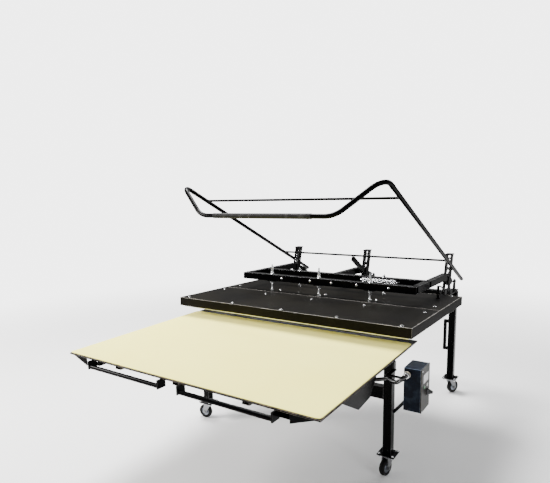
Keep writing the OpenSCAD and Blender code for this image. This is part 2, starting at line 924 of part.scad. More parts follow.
front_legs();
rear_legs();
foot_plates();
caster_plates();
caster_bolts();
cross_tubes();
rear_top_beam();
slide_bars();
slide_pads();
uprights();
pivot_pins();
lift_springs();
leg_loop();
box_bracket();
conduit();
control_box();
control_panel();
display_window();
panel_screws();
cover_front();
cover_rear();
cover_skirt();
cover_bolts();
heat_platen();
insulation();
press_bars();
press_arms();
hinge_lugs();
link_pins();
pressure_studs();
stud_nuts();
bar_bolts();
frame_spring();
cable_post();
handle_arms();
handle_bow();
grip_sleeve();
handle_crossbars();
side_cranks();
side_links();
centre_lever();
centre_link();
table_tray();
table_pad();
table_channels();
pull_handles();
table_gussets();
fork_front_left();
fork_front_right();
fork_rear_left();
fork_rear_right();
wheel_front_left();
wheel_front_right();
wheel_rear_left();
wheel_rear_right();
main_knob();
start_key();
set_key();
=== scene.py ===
# %% [markdown]
# # A large-format heat press
# Every piece of this model stands on the CAD parts of the same press. The CAD gives the places and
# the motion, and this file gives the surfaces, the rounded edges, the springs, the tyres and the pad.
# The first cell loads the frame and keeps its box, which the finished model is compared with.

# %% Load the frame
import json
import math
import random
import bmesh
import bpy
from mathutils import Matrix, Vector


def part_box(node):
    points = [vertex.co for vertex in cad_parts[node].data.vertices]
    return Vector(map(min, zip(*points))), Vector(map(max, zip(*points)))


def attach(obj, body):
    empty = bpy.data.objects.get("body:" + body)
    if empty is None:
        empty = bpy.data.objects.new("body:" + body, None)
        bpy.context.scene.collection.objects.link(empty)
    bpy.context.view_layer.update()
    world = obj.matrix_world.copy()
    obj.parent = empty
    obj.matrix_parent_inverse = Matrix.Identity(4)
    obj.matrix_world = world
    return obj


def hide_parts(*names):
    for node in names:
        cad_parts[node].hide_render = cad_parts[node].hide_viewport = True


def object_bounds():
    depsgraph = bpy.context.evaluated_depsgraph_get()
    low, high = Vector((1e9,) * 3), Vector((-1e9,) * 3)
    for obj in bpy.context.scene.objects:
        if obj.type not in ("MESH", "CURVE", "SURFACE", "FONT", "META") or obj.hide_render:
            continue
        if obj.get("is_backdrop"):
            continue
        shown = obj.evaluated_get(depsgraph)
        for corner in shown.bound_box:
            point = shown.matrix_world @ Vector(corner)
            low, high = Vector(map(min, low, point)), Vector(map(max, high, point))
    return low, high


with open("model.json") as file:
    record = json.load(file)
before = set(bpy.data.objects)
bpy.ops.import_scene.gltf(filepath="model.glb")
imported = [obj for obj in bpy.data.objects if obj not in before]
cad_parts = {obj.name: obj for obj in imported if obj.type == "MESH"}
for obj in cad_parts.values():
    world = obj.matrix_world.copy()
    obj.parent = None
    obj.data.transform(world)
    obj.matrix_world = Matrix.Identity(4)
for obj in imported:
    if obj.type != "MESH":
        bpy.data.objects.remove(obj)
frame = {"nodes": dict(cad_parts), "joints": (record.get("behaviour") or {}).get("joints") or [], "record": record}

cad_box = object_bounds()
nodes = frame["nodes"]
body_of_node = {n: b for b, ns in frame["record"]["behaviour"]["bodies"].items() for n in ns}
scene = bpy.context.scene
print("CAD nodes:", len(nodes), "box:", [[round(v, 3) for v in corner] for corner in cad_box])

# %% [markdown]
# ## Camera, floor and light
# A long lens from the front right, at about head height, looks a little down on the press. The
# floor is one large pale sheet. Soft studio light is a few wide area lights: a large one overhead
# for the black tops, one from the left for the fronts, and a weak one to open up the shadows.

# %% Camera
def look(name, place, yaw, pitch, roll, lens, shift):
    """A camera at place, turned yaw about Z, pitch above the horizon, and roll about its own view."""
    camera_data = bpy.data.cameras.new(name)
    camera_data.lens = lens
    camera_data.sensor_width = 36
    camera_data.shift_x, camera_data.shift_y = shift
    camera_data.clip_end = 60
    camera = bpy.data.objects.new(name, camera_data)
    turn = (Matrix.Rotation(math.radians(-yaw), 4, "Z")
            @ Matrix.Rotation(math.radians(90 + pitch), 4, "X")
            @ Matrix.Rotation(math.radians(roll), 4, "Z"))
    camera.matrix_world = Matrix.Translation(place) @ turn
    scene.collection.objects.link(camera)
    return camera

scene.camera = look("camera", (1.5885, -3.06915, 1.713), yaw=-37.44, pitch=-8.78, roll=-1.847,
                    lens=33.31, shift=(0.0929, 0.0477))
print("camera:", scene.camera.name)

# %% Floor and light
def mesh_object(name, mesh):
    piece = bpy.data.objects.new(name, mesh)
    scene.collection.objects.link(piece)
    return piece

def area_light(name, place, target, size, power, colour=(1, 1, 1)):
    lamp = bpy.data.lights.new(name, "AREA")
    lamp.shape = "RECTANGLE"
    lamp.size, lamp.size_y = size
    lamp.energy = power
    lamp.color = colour
    lamp_object = bpy.data.objects.new(name, lamp)
    lamp_object.location = place
    lamp_object.rotation_euler = (Vector(target) - Vector(place)).to_track_quat("-Z", "Y").to_euler()
    scene.collection.objects.link(lamp_object)

floor_mesh = bpy.data.meshes.new("floor")
floor_half = 30
floor_mesh.from_pydata([(x * floor_half, y * floor_half, 0) for x, y in ((-1, -1), (1, -1), (1, 1), (-1, 1))],
                       [], [(0, 1, 2, 3)])
floor = mesh_object("floor", floor_mesh)
floor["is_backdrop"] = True
middle = (0, 0, 0.8)
area_light("overhead", (-1.6, 0.6, 4.8), middle, (2.4, 1.8), 680)
area_light("left_front", (-4.4, -3.4, 3.2), middle, (1.6, 1.6), 600, (1, 0.98, 0.95))
area_light("right_front", (4.6, -1.8, 2.6), middle, (0.7, 1.6), 45, (0.95, 0.97, 1))
area_light("back", (1.5, 5.0, 3.6), middle, (3, 1.0), 120)
backdrop_white, soft_white = 4.5, 0.42

def make_world():
    """A white surround to look at, which lights the press only softly."""
    world = bpy.data.worlds.new("studio")
    scene.world = world
    world.use_nodes = True
    tree = world.node_tree
    soft = tree.nodes["Background"]
    soft.inputs["Color"].default_value = (1, 1, 1, 1)
    soft.inputs["Strength"].default_value = soft_white
    seen = tree.nodes.new("ShaderNodeBackground")
    seen.inputs["Color"].default_value = (1, 1, 1, 1)
    seen.inputs["Strength"].default_value = backdrop_white
    choose = tree.nodes.new("ShaderNodeMixShader")
    tree.links.new(tree.nodes.new("ShaderNodeLightPath").outputs["Is Camera Ray"], choose.inputs[0])
    tree.links.new(soft.outputs[0], choose.inputs[1])
    tree.links.new(seen.outputs[0], choose.inputs[2])
    tree.links.new(choose.outputs[0], tree.nodes["World Output"].inputs["Surface"])

make_world()

# %% [markdown]
# ## Surface effects as node groups
# Paint, plated steel and rubber share a few effects: patches of slightly different colour, a fine
# grain that catches light, edges that handling has rubbed bare, and lines left by brushing.
# Each effect is a node group, built once, with named inputs, and each material sets its own values.
# The groups give only colours and values, and the shader stays in the material.

# %% A small kit for node trees
def group_tree(name, inputs, outputs):
    """A shader node group with named float or colour inputs and outputs."""
    tree = bpy.data.node_groups.new(name, "ShaderNodeTree")
    kinds = {"f": "NodeSocketFloat", "c": "NodeSocketColor", "v": "NodeSocketVector"}
    for label, kind, value in inputs:
        socket = tree.interface.new_socket(label, in_out="INPUT", socket_type=kinds[kind])
        socket.default_value = value
    for label, kind in outputs:
        tree.interface.new_socket(label, in_out="OUTPUT", socket_type=kinds[kind])
    return tree, tree.nodes.new("NodeGroupInput"), tree.nodes.new("NodeGroupOutput")

def put(tree, value, socket):
    """Links an output to a socket, or sets the socket's value."""
    if isinstance(value, bpy.types.NodeSocket):
        tree.links.new(value, socket)
    else:
        socket.default_value = value

def maths(tree, operation, first, second=0.0, clamp=False):
    node = tree.nodes.new("ShaderNodeMath")
    node.operation, node.use_clamp = operation, clamp
    put(tree, first, node.inputs[0])
    put(tree, second, node.inputs[1])
    return node.outputs[0]

def mix(tree, factor, first, second, how="MIX"):
    node = tree.nodes.new("ShaderNodeMix")
    node.data_type, node.blend_type = "RGBA", how
    put(tree, factor, node.inputs["Factor"])
    put(tree, first, node.inputs["A"])
    put(tree, second, node.inputs["B"])
    return node.outputs["Result"]

def ranged(tree, value, low, high, to_low=0.0, to_high=1.0):
    node = tree.nodes.new("ShaderNodeMapRange")
    for label, number in (("Value", value), ("From Min", low), ("From Max", high),
                          ("To Min", to_low), ("To Max", to_high)):
        put(tree, number, node.inputs[label])
    return node.outputs["Result"]

def noise(tree, scale, detail=3.0, stretch=None):
    """Noise on Object coordinates, stretched by a scale per axis if given."""
    place = tree.nodes.new("ShaderNodeTexCoord").outputs["Object"]
    if stretch is not None:
        mapping = tree.nodes.new("ShaderNodeMapping")
        tree.links.new(place, mapping.inputs["Vector"])
        put(tree, stretch, mapping.inputs["Scale"])
        place = mapping.outputs["Vector"]
    node = tree.nodes.new("ShaderNodeTexNoise")
    tree.links.new(place, node.inputs["Vector"])
    put(tree, scale, node.inputs["Scale"])
    put(tree, detail, node.inputs["Detail"])
    return node.outputs["Fac"]

def make_floor_finish(near=2.2, far=6.5):
    """Pale floor near the press, which fades to the backdrop's white away from it."""
    material = bpy.data.materials.new("pale_floor")
    material.use_nodes = True
    tree = material.node_tree
    shader = tree.nodes["Principled BSDF"]
    shader.inputs["Base Color"].default_value = (0.92, 0.92, 0.92, 1)
    shader.inputs["Roughness"].default_value = 0.6
    shader.inputs["Specular IOR Level"].default_value = 0.2
    reach = tree.nodes.new("ShaderNodeVectorMath")
    reach.operation = "LENGTH"
    tree.links.new(tree.nodes.new("ShaderNodeTexCoord").outputs["Object"], reach.inputs[0])
    glow = tree.nodes.new("ShaderNodeEmission")
    tree.links.new(ranged(tree, tree.nodes.new("ShaderNodeLightPath").outputs["Is Camera Ray"], 0.0, 1.0,
                          soft_white, backdrop_white), glow.inputs["Strength"])
    fade = tree.nodes.new("ShaderNodeMixShader")
    ramp = tree.nodes.new("ShaderNodeMapRange")
    ramp.interpolation_type = "SMOOTHSTEP"
    tree.links.new(reach.outputs["Value"], ramp.inputs["Value"])
    ramp.inputs["From Min"].default_value, ramp.inputs["From Max"].default_value = near, far
    tree.links.new(ramp.outputs["Result"], fade.inputs[0])
    tree.links.new(shader.outputs[0], fade.inputs[1])
    tree.links.new(glow.outputs[0], fade.inputs[2])
    tree.links.new(fade.outputs[0], tree.nodes["Material Output"].inputs["Surface"])
    return material

floor_mesh.materials.append(make_floor_finish())
print("node kit ready")

# %% Patches, grain and rubbed edges
def make_patches():
    tree, given, result = group_tree("patches", [
        ("Colour", "c", (0, 0, 0, 1)), ("Other Colour", "c", (0, 0, 0, 1)), ("Patch Scale", "f", 3.0),
        ("Patch Amount", "f", 0.5), ("Grain Scale", "f", 400.0), ("Grain Amount", "f", 0.2),
        ("Roughness", "f", 0.4), ("Roughness Spread", "f", 0.1)],
        [("Colour", "c"), ("Roughness", "f"), ("Height", "f")])
    cloud = noise(tree, given.outputs["Patch Scale"], 5.0)
    grain = noise(tree, given.outputs["Grain Scale"], 2.0)
    cover = maths(tree, "MULTIPLY", ranged(tree, cloud, 0.42, 0.68), given.outputs["Patch Amount"])
    base = mix(tree, cover, given.outputs["Colour"], given.outputs["Other Colour"])
    speck = maths(tree, "MULTIPLY", ranged(tree, grain, 0.45, 0.75), given.outputs["Grain Amount"])
    put(tree, mix(tree, speck, base, given.outputs["Other Colour"]), result.inputs["Colour"])
    swing = maths(tree, "MULTIPLY", maths(tree, "SUBTRACT", cloud, 0.5), given.outputs["Roughness Spread"])
    put(tree, maths(tree, "ADD", given.outputs["Roughness"], maths(tree, "MULTIPLY", swing, 2.0), True),
        result.inputs["Roughness"])
    put(tree, grain, result.inputs["Height"])
    return tree

def make_rubbed():
    tree, given, result = group_tree("rubbed_edges", [
        ("Colour", "c", (0, 0, 0, 1)), ("Bare Colour", "c", (1, 1, 1, 1)), ("Amount", "f", 0.5),
        ("Roughness", "f", 0.4)], [("Colour", "c"), ("Roughness", "f"), ("Mask", "f")])
    scuff = ranged(tree, noise(tree, 22.0, 4.0), 0.5, 0.72)
    mask = maths(tree, "MULTIPLY", scuff, given.outputs["Amount"], True)
    put(tree, mix(tree, mask, given.outputs["Colour"], given.outputs["Bare Colour"]), result.inputs["Colour"])
    put(tree, maths(tree, "ADD", given.outputs["Roughness"], maths(tree, "MULTIPLY", mask, 0.1)),
        result.inputs["Roughness"])
    put(tree, mask, result.inputs["Mask"])
    return tree

def make_brushed():
    tree, given, result = group_tree("brushed_lines", [
        ("Colour", "c", (0.6, 0.6, 0.6, 1)), ("Stretch", "v", (1, 1, 1)), ("Roughness", "f", 0.3),
        ("Spread", "f", 0.15)], [("Colour", "c"), ("Roughness", "f"), ("Height", "f")])
    lines = noise(tree, 1.0, 4.0, given.outputs["Stretch"])
    stain = noise(tree, 30.0, 4.0)
    shade = mix(tree, ranged(tree, lines, 0.3, 0.7, 0.0, 0.35), given.outputs["Colour"], (0.25, 0.25, 0.25, 1))
    put(tree, mix(tree, ranged(tree, stain, 0.5, 0.8, 0.0, 0.3), shade, (0.2, 0.19, 0.18, 1)),
        result.inputs["Colour"])
    swing = maths(tree, "MULTIPLY", maths(tree, "SUBTRACT", lines, 0.5), given.outputs["Spread"])
    put(tree, maths(tree, "ADD", given.outputs["Roughness"], swing, True), result.inputs["Roughness"])
    put(tree, lines, result.inputs["Height"])
    return tree

patches, rubbed, brushed = make_patches(), make_rubbed(), make_brushed()
print("groups:", [g.name for g in (patches, rubbed, brushed)])

# %% [markdown]
# ## Paints and metals
# One function makes a painted finish: patches feed rubbed edges, which feed the shader, and the
# grain becomes a shallow bump. A second makes bare metal with brushing lines. Numbers that are
# the same all over, such as the coat or the metal value, are set on the shader's own sockets.

# %% Paint, metal and moulded finishes
def shader_of(name, **sockets):
    material = bpy.data.materials.new(name)
    material.use_nodes = True
    shader = material.node_tree.nodes["Principled BSDF"]
    for label, value in sockets.items():
        shader.inputs[label.replace("_", " ")].default_value = value
    return material, material.node_tree, shader

def place_group(tree, group, **values):
    node = tree.nodes.new("ShaderNodeGroup")
    node.node_tree = group
    for label, value in values.items():
        put(tree, value, node.inputs[label.replace("_", " ")])
    return node.outputs

def bump(tree, shader, height, strength, distance):
    node = tree.nodes.new("ShaderNodeBump")
    node.inputs["Strength"].default_value = strength
    node.inputs["Distance"].default_value = distance
    put(tree, height, node.inputs["Height"])
    tree.links.new(node.outputs["Normal"], shader.inputs["Normal"])

def painted(name, colour, other, rough, patch=(3.0, 0.5), grain=(400.0, 0.15), bare=(0.25, 0.25, 0.25),
            rub=0.1, spread=0.08, relief=0.15, **sockets):
    """A surface of one colour with patches of another, a fine grain and rubbed edges."""
    material, tree, shader = shader_of(name, **sockets)
    skin = place_group(tree, patches, Colour=(*colour, 1), Other_Colour=(*other, 1), Patch_Scale=patch[0],
                       Patch_Amount=patch[1], Grain_Scale=grain[0], Grain_Amount=grain[1],
                       Roughness=rough, Roughness_Spread=spread)
    worn = place_group(tree, rubbed, Colour=skin["Colour"], Bare_Colour=(*bare, 1), Amount=rub,
                       Roughness=skin["Roughness"])
    tree.links.new(worn["Colour"], shader.inputs["Base Color"])
    tree.links.new(worn["Roughness"], shader.inputs["Roughness"])
    bump(tree, shader, skin["Height"], relief, 0.0004)
    return material

def bare_metal(name, colour, rough, stretch, spread=0.15, relief=0.12, **sockets):
    """Bare or plated metal whose brushing lines run across the axis with the largest stretch."""
    material, tree, shader = shader_of(name, Metallic=1.0, **sockets)
    skin = place_group(tree, brushed, Colour=(*colour, 1), Stretch=stretch, Roughness=rough, Spread=spread)
    tree.links.new(skin["Colour"], shader.inputs["Base Color"])
    tree.links.new(skin["Roughness"], shader.inputs["Roughness"])
    bump(tree, shader, skin["Height"], relief, 0.0002)
    return material

finishes = {
    "black_frame": painted("black_enamel", (0.0004, 0.0004, 0.0005), (0.0014, 0.0014, 0.0014), 0.2,
                           bare=(0.006, 0.006, 0.0065), Specular_IOR_Level=0.03),
    "cover_paint": painted("cover_enamel", (0.0012, 0.0011, 0.001), (0.012, 0.0105, 0.0075), 0.5,
                           patch=(2.2, 0.4),
                           grain=(240.0, 0.5), bare=(0.012, 0.011, 0.01), Specular_IOR_Level=0.03),
    "cover_skirt": painted("skirt_enamel", (0.0012, 0.0007, 0.0007), (0.004, 0.0015, 0.0012), 0.4,
                           bare=(0.02, 0.012, 0.012), Specular_IOR_Level=0.04),
    "tray_black": painted("tray_enamel", (0.0007, 0.0006, 0.0006), (0.0022, 0.0017, 0.0012), 0.42,
                          bare=(0.03, 0.022, 0.015), Specular_IOR_Level=0.05),
    "navy_paint": painted("hammered_navy", (0.0009, 0.002, 0.0055), (0.004, 0.008, 0.017), 0.4,
                          patch=(30.0, 0.5),
                          grain=(260.0, 0.75), bare=(0.1, 0.14, 0.19), relief=0.6, Specular_IOR_Level=0.07),
    "panel_grey": painted("panel_enamel", (0.006, 0.0058, 0.0045), (0.04, 0.04, 0.034), 0.45, patch=(26.0, 0.6),
                           bare=(0.12, 0.12, 0.1), Specular_IOR_Level=0.15),
    "black_rubber": painted("smooth_sheath", (0.0012, 0.0012, 0.0014), (0.005, 0.005, 0.005), 0.13,
                            Specular_IOR_Level=0.6),
    "grip_rubber": painted("grip_rubber", (0.0015, 0.0015, 0.0015), (0.006, 0.006, 0.006), 0.55,
                           grain=(900.0, 0.4), relief=0.4, Specular_IOR_Level=0.12),
    "caster_tyre": painted("tyre_rubber", (0.003, 0.003, 0.003), (0.014, 0.013, 0.012), 0.6, patch=(16.0, 0.7),
                           grain=(700.0, 0.4), bare=(0.03, 0.028, 0.026), relief=0.4,
                           Specular_IOR_Level=0.12),
    "nylon": painted("slide_nylon", (0.72, 0.7, 0.62), (0.5, 0.47, 0.4), 0.45, patch=(20.0, 0.6)),
    "knob_black": painted("moulded_black", (0.006, 0.006, 0.006), (0.03, 0.03, 0.03), 0.28),
    "key_green": painted("moulded_green", (0.02, 0.16, 0.05), (0.05, 0.25, 0.09), 0.3, patch=(60.0, 0.5)),
    "key_white": painted("moulded_white", (0.62, 0.62, 0.58), (0.45, 0.44, 0.4), 0.35, patch=(60.0, 0.5)),
    "display_glass": painted("dark_window", (0.012, 0.016, 0.015), (0.05, 0.055, 0.05), 0.08,
                             patch=(40.0, 0.4), Coat_Weight=1.0, Coat_Roughness=0.03),
    "caster_zinc": bare_metal("dull_zinc", (0.2, 0.205, 0.215), 0.34, (40, 40, 220), 0.25),
    "bright_steel": bare_metal("bright_zinc", (0.78, 0.79, 0.8), 0.2, (300, 300, 60)),
    "link_steel": bare_metal("machined_steel", (0.42, 0.42, 0.43), 0.33, (30, 260, 260), 0.2),
    "chrome_spring": bare_metal("spring_chrome", (0.82, 0.83, 0.85), 0.12, (60, 300, 300), 0.08),
    "mineral_wool": painted("mineral_wool", (0.55, 0.5, 0.33), (0.3, 0.27, 0.17), 0.9, patch=(40.0, 0.6),
                            grain=(600.0, 0.6), relief=0.8),
    "pad_cream": painted("pad_cloth", (0.82, 0.74, 0.46), (0.7, 0.6, 0.34), 0.75, patch=(3.0, 0.5)),
    "platen_aluminium": bare_metal("milled_aluminium", (0.66, 0.66, 0.67), 0.34, (3, 420, 90), 0.2),
}
print("finishes:", len(finishes))

# %% Twins for rounded edges, with a painted highlight and rubbed wear
# Each twin's colours are several to a hundred times lighter than its paint's. This is a painted highlight along the
# rounded edge, and rub=1.0 adds rubbed-through wear.
for slot, twin in (
        ("black_frame", painted("black_enamel_highlit_edge", (0.003, 0.003, 0.0032), (0.01, 0.01, 0.011), 0.3,
                                bare=(0.05, 0.05, 0.053), rub=1.0, Specular_IOR_Level=0.25)),
        ("cover_paint", painted("cover_enamel_highlit_edge", (0.12, 0.11, 0.1), (0.3, 0.28, 0.25), 0.34,
                                bare=(0.5, 0.47, 0.42), rub=1.0)),
        ("cover_skirt", painted("skirt_enamel_highlit_edge", (0.14, 0.11, 0.1), (0.35, 0.3, 0.27), 0.34,
                                bare=(0.5, 0.45, 0.4), rub=1.0)),
        ("tray_black", painted("tray_enamel_highlit_edge", (0.06, 0.05, 0.04), (0.18, 0.14, 0.1), 0.4,
                               bare=(0.35, 0.27, 0.2), rub=1.0)),
        ("navy_paint", painted("hammered_navy_highlit_edge", (0.06, 0.1, 0.17), (0.16, 0.24, 0.34), 0.4,
                               grain=(260.0, 0.7), bare=(0.3, 0.4, 0.5), rub=1.0)),
        ("panel_grey", painted("panel_enamel_highlit_edge", (0.03, 0.028, 0.022), (0.12, 0.12, 0.1), 0.45,
                                bare=(0.25, 0.25, 0.2), rub=0.8))):
    finishes[slot + "_edge"] = twin
finishes["hub_grey"] = painted("hub_casting", (0.07, 0.078, 0.09), (0.15, 0.17, 0.21), 0.4, patch=(60.0, 0.7),
                               bare=(0.5, 0.53, 0.6), rub=0.8, Metallic=0.4)
print("with twins:", len(finishes))

# %% [markdown]
# ## Rounded edges on the flat-sided parts
# A real plate or tube has no knife edge: bending, grinding and paint round it, and the rounded
# line is what catches the light. The CAD meshes are loose triangles with sharp corners. A copy is
# merged, its coplanar triangles are joined, and a Bevel modifier rounds what is left. The rounded
# strip gets its own slot, a twin of the paint. The twin is painted much lighter as a highlight and has
# seeded rubbed wear on it, because edges are where paint rubs off first.

# %% Rounded copies
highlit_edge_finishes = {}

def worn_and_highlit_twin(slot):
    """The finish of a painted part's rounded edges, a much lighter twin with a painted highlight and rubbed wear, or
    the finish itself on bare metal.
    """
    return highlit_edge_finishes.get(slot, finishes[slot])

def rounded(node, width, slot=None, sharp=32, steps=2):
    """Replaces a CAD part with a merged copy whose edges are rounded over that width, in metres."""
    slot = slot or slot_of_node[node]
    soup = bmesh.new()
    soup.from_mesh(nodes[node].data)
    bmesh.ops.remove_doubles(soup, verts=soup.verts, dist=2e-5)
    bmesh.ops.dissolve_limit(soup, angle_limit=math.radians(0.7), verts=soup.verts, edges=soup.edges)
    for face in soup.faces:
        face.smooth = True
        face.material_index = 0
    for edge in soup.edges:
        edge.smooth = edge.calc_face_angle(0.0) < math.radians(sharp)
    mesh = bpy.data.meshes.new(node + "_rounded")
    soup.to_mesh(mesh)
    soup.free()
    mesh.materials.append(finishes[slot])
    # Slot 1 is the rounded strip's twin: a painted highlight, lighter than the paint, with rubbed wear.
    mesh.materials.append(worn_and_highlit_twin(slot))
    piece = mesh_object(node + "_rounded", mesh)
    bevel = piece.modifiers.new("edges", "BEVEL")
    bevel.limit_method, bevel.angle_limit = "ANGLE", math.radians(sharp)
    bevel.width, bevel.segments, bevel.material = width, steps, 1
    bevel.use_clamp_overlap = False
    bevel.harden_normals = True
    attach(piece, body_of_node[node])
    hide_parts(node)
    return piece

slot_of_node = {s["node"]: s["material_slot"] for s in frame["record"]["subparts"]}
# The rounded strips of these paints take their twins. The lighter colours of the twins are a painted highlight.
for slot in ("black_frame", "cover_paint", "cover_skirt", "tray_black", "navy_paint", "panel_grey"):
    highlit_edge_finishes[slot] = finishes[slot + "_edge"]
edge_widths = {
    "front_legs": 0.0025, "rear_legs": 0.0025, "foot_plates": 0.001, "caster_plates": 0.001,
    "cross_tubes": 0.003, "rear_top_beam": 0.0015, "slide_bars": 0.0015, "slide_pads": 0.0008,
    "uprights": 0.0012, "leg_loop": 0.002, "box_bracket": 0.001, "control_box": 0.0008,
    "control_panel": 0.001, "cover_front": 0.0008, "cover_rear": 0.0008, "cover_skirt": 0.001,
    "heat_platen": 0.0015, "insulation": 0.002, "press_bars": 0.0015, "press_arms": 0.0015,
    "hinge_lugs": 0.001, "handle_arms": 0.0006, "side_cranks": 0.0008,
    "side_links": 0.0006, "centre_lever": 0.001, "centre_link": 0.0006, "table_tray": 0.0012,
    "table_channels": 0.0008, "pull_handles": 0.0008, "table_gussets": 0.0008,
    "link_pins": 0.0008, "pivot_pins": 0.0008, "panel_screws": 0.0005, "display_window": 0.0003,
    "start_key": 0.0008, "set_key": 0.0008,
}
for node, width in edge_widths.items():
    rounded(node, width)
print("rounded parts:", len(edge_widths))

# %% [markdown]
# ## Places in the press's own coordinates
# The CAD measures from the head's front edge and the press's middle plane, in millimetres, while
# the frame's origin is the middle of its box. Two boxes give the shift between them: the bow is
# centred on the middle plane, and the front legs stand 98 mm behind the head's front edge. The
# head stands open, turned a little about its hinge, so its pieces are made level and then turned.

# %% Places and the open head
bow_low, bow_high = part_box("handle_bow")
leg_low, leg_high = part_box("front_legs")
origin_x = (bow_low[0] + bow_high[0]) / 2
origin_y = (leg_low[1] + leg_high[1]) / 2 - 0.098
open_turn = math.radians(-2.06)

def at(x, y, z):
    """Millimetres in the press's coordinates as a place in the frame."""
    return Vector((origin_x + x / 1000, origin_y + y / 1000, z / 1000))

hinge = at(0, 1580, 925)
open_head = Matrix.Translation(hinge) @ Matrix.Rotation(open_turn, 4, "X") @ Matrix.Translation(-hinge)

def on_head(x, y, z):
    return open_head @ at(x, y, z)

print("middle plane X:", round(origin_x, 4), "head's front edge Y:", round(origin_y, 4))

# %% [markdown]
# ## Bent tubes with Geometry Nodes
# The handle's bow, the conduit and the cable loop are round bars that follow a path. A curve holds
# the path, with its corners rounded into arcs, and a small Geometry Nodes tree sweeps a circle
# along it. Radius, sides and material are inputs, so one tree makes every tube.

# %% The tube tree
def input_id(tree, label):
    return next(s.identifier for s in tree.interface.items_tree
                if s.item_type == "SOCKET" and s.in_out == "INPUT" and s.name == label)

def geometry_tree(name, inputs):
    tree = bpy.data.node_groups.new(name, "GeometryNodeTree")
    tree.interface.new_socket("Geometry", in_out="INPUT", socket_type="NodeSocketGeometry")
    tree.interface.new_socket("Geometry", in_out="OUTPUT", socket_type="NodeSocketGeometry")
    for label, kind, value in inputs:
        socket = tree.interface.new_socket(label, in_out="INPUT", socket_type=kind)
        if value is not None:
            socket.default_value = value
    return tree, tree.nodes.new("NodeGroupInput"), tree.nodes.new("NodeGroupOutput")

def finish_tree(tree, given, result, geometry):
    """Ends a tree in Realize Instances and Set Material."""
    realize = tree.nodes.new("GeometryNodeRealizeInstances")
    paint = tree.nodes.new("GeometryNodeSetMaterial")
    tree.links.new(geometry, realize.inputs[0])
    tree.links.new(realize.outputs[0], paint.inputs["Geometry"])
    tree.links.new(given.outputs["Material"], paint.inputs["Material"])
    tree.links.new(paint.outputs[0], result.inputs["Geometry"])

def make_tube_tree():
    tree, given, result = geometry_tree("tube_along_path", [
        ("Radius", "NodeSocketFloat", 0.01), ("Sides", "NodeSocketInt", 32),
        ("Material", "NodeSocketMaterial", None)])
    ring = tree.nodes.new("GeometryNodeCurvePrimitiveCircle")
    tree.links.new(given.outputs["Radius"], ring.inputs["Radius"])
    tree.links.new(given.outputs["Sides"], ring.inputs["Resolution"])
    sweep = tree.nodes.new("GeometryNodeCurveToMesh")
    sweep.inputs["Fill Caps"].default_value = True
    tree.links.new(given.outputs["Geometry"], sweep.inputs["Curve"])
    tree.links.new(ring.outputs[0], sweep.inputs["Profile Curve"])
    smooth = tree.nodes.new("GeometryNodeSetShadeSmooth")
    tree.links.new(sweep.outputs[0], smooth.inputs["Geometry"])
    finish_tree(tree, given, result, smooth.outputs[0])
    return tree

tube_tree = make_tube_tree()

def baked(name, host, tree, **values):
    """Runs a tree on a host object and keeps the result as a plain mesh."""
    modifier = host.modifiers.new("tree", "NODES")
    modifier.node_group = tree
    for label, value in values.items():
        modifier[input_id(tree, label.replace("_", " "))] = value
    bpy.context.view_layer.update()
    evaluated = host.evaluated_get(bpy.context.evaluated_depsgraph_get())
    mesh = bpy.data.meshes.new_from_object(evaluated)
    mesh.name = name
    host.modifiers.remove(modifier)
    bpy.data.objects.remove(host)
    sharp_caps(mesh)
    return mesh_object(name, mesh)

def sharp_caps(mesh, limit=40):
    """Shades smooth, with sharp edges kept where faces meet at more than the limit."""
    work = bmesh.new()
    work.from_mesh(mesh)
    bmesh.ops.remove_doubles(work, verts=work.verts, dist=1e-6)
    for face in work.faces:
        face.smooth = True
    for edge in work.edges:
        edge.smooth = edge.calc_face_angle(0.0) < math.radians(limit)
    work.to_mesh(mesh)
    work.free()

def path_curve(name, points):
    curve = bpy.data.curves.new(name, "CURVE")
    curve.dimensions = "3D"
    spline = curve.splines.new("POLY")
    spline.points.add(len(points) - 1)
    for slot, point in zip(spline.points, points):
        slot.co = (*point, 1)
    host = bpy.data.objects.new(name, curve)
    scene.collection.objects.link(host)
    return host

def arc_corners(points, tangents, steps=14):
    """The path with each inner corner rounded into an arc that takes up that length on each side."""
    path = [points[0]]
    for before, corner, after, length in zip(points, points[1:], points[2:], tangents):
        u, v = (before - corner).normalized(), (after - corner).normalized()
        half = math.acos(max(-1, min(1, u.dot(v)))) / 2
        radius = length * math.tan(half)
        middle_point = corner + (u + v).normalized() * radius / math.sin(half)
        first, across = (corner + u * length - middle_point) / radius, -u
        sweep = math.pi - 2 * half
        path += [middle_point + (first * math.cos(sweep * i / steps) + across * math.sin(sweep * i / steps)) * radius
                 for i in range(steps + 1)]
    return path + [points[-1]]

def tube(name, points, radius, slot, body, replaced=(), sides=32):
    piece = baked(name, path_curve(name, points), tube_tree, Radius=radius, Sides=sides,
                  Material=finishes[slot])
    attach(piece, body)
    if replaced:
        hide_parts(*replaced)
    return piece

# %% Handle bow, conduit and cable loop
arm_slope = math.radians(24.7)
arm_way = Vector((0, math.cos(arm_slope), -math.sin(arm_slope)))
bow_tube, grip_half = 0.0143, 466
bow_low, bow_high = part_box("handle_bow")
arm_x = (bow_high[0] - bow_low[0]) * 500 - bow_tube * 1000
bow_top, grip_end = at(arm_x, -67, 1748), at(grip_half, -174, 1549)
def other_side(point):
    return Vector((2 * origin_x - point.x, point.y, point.z))

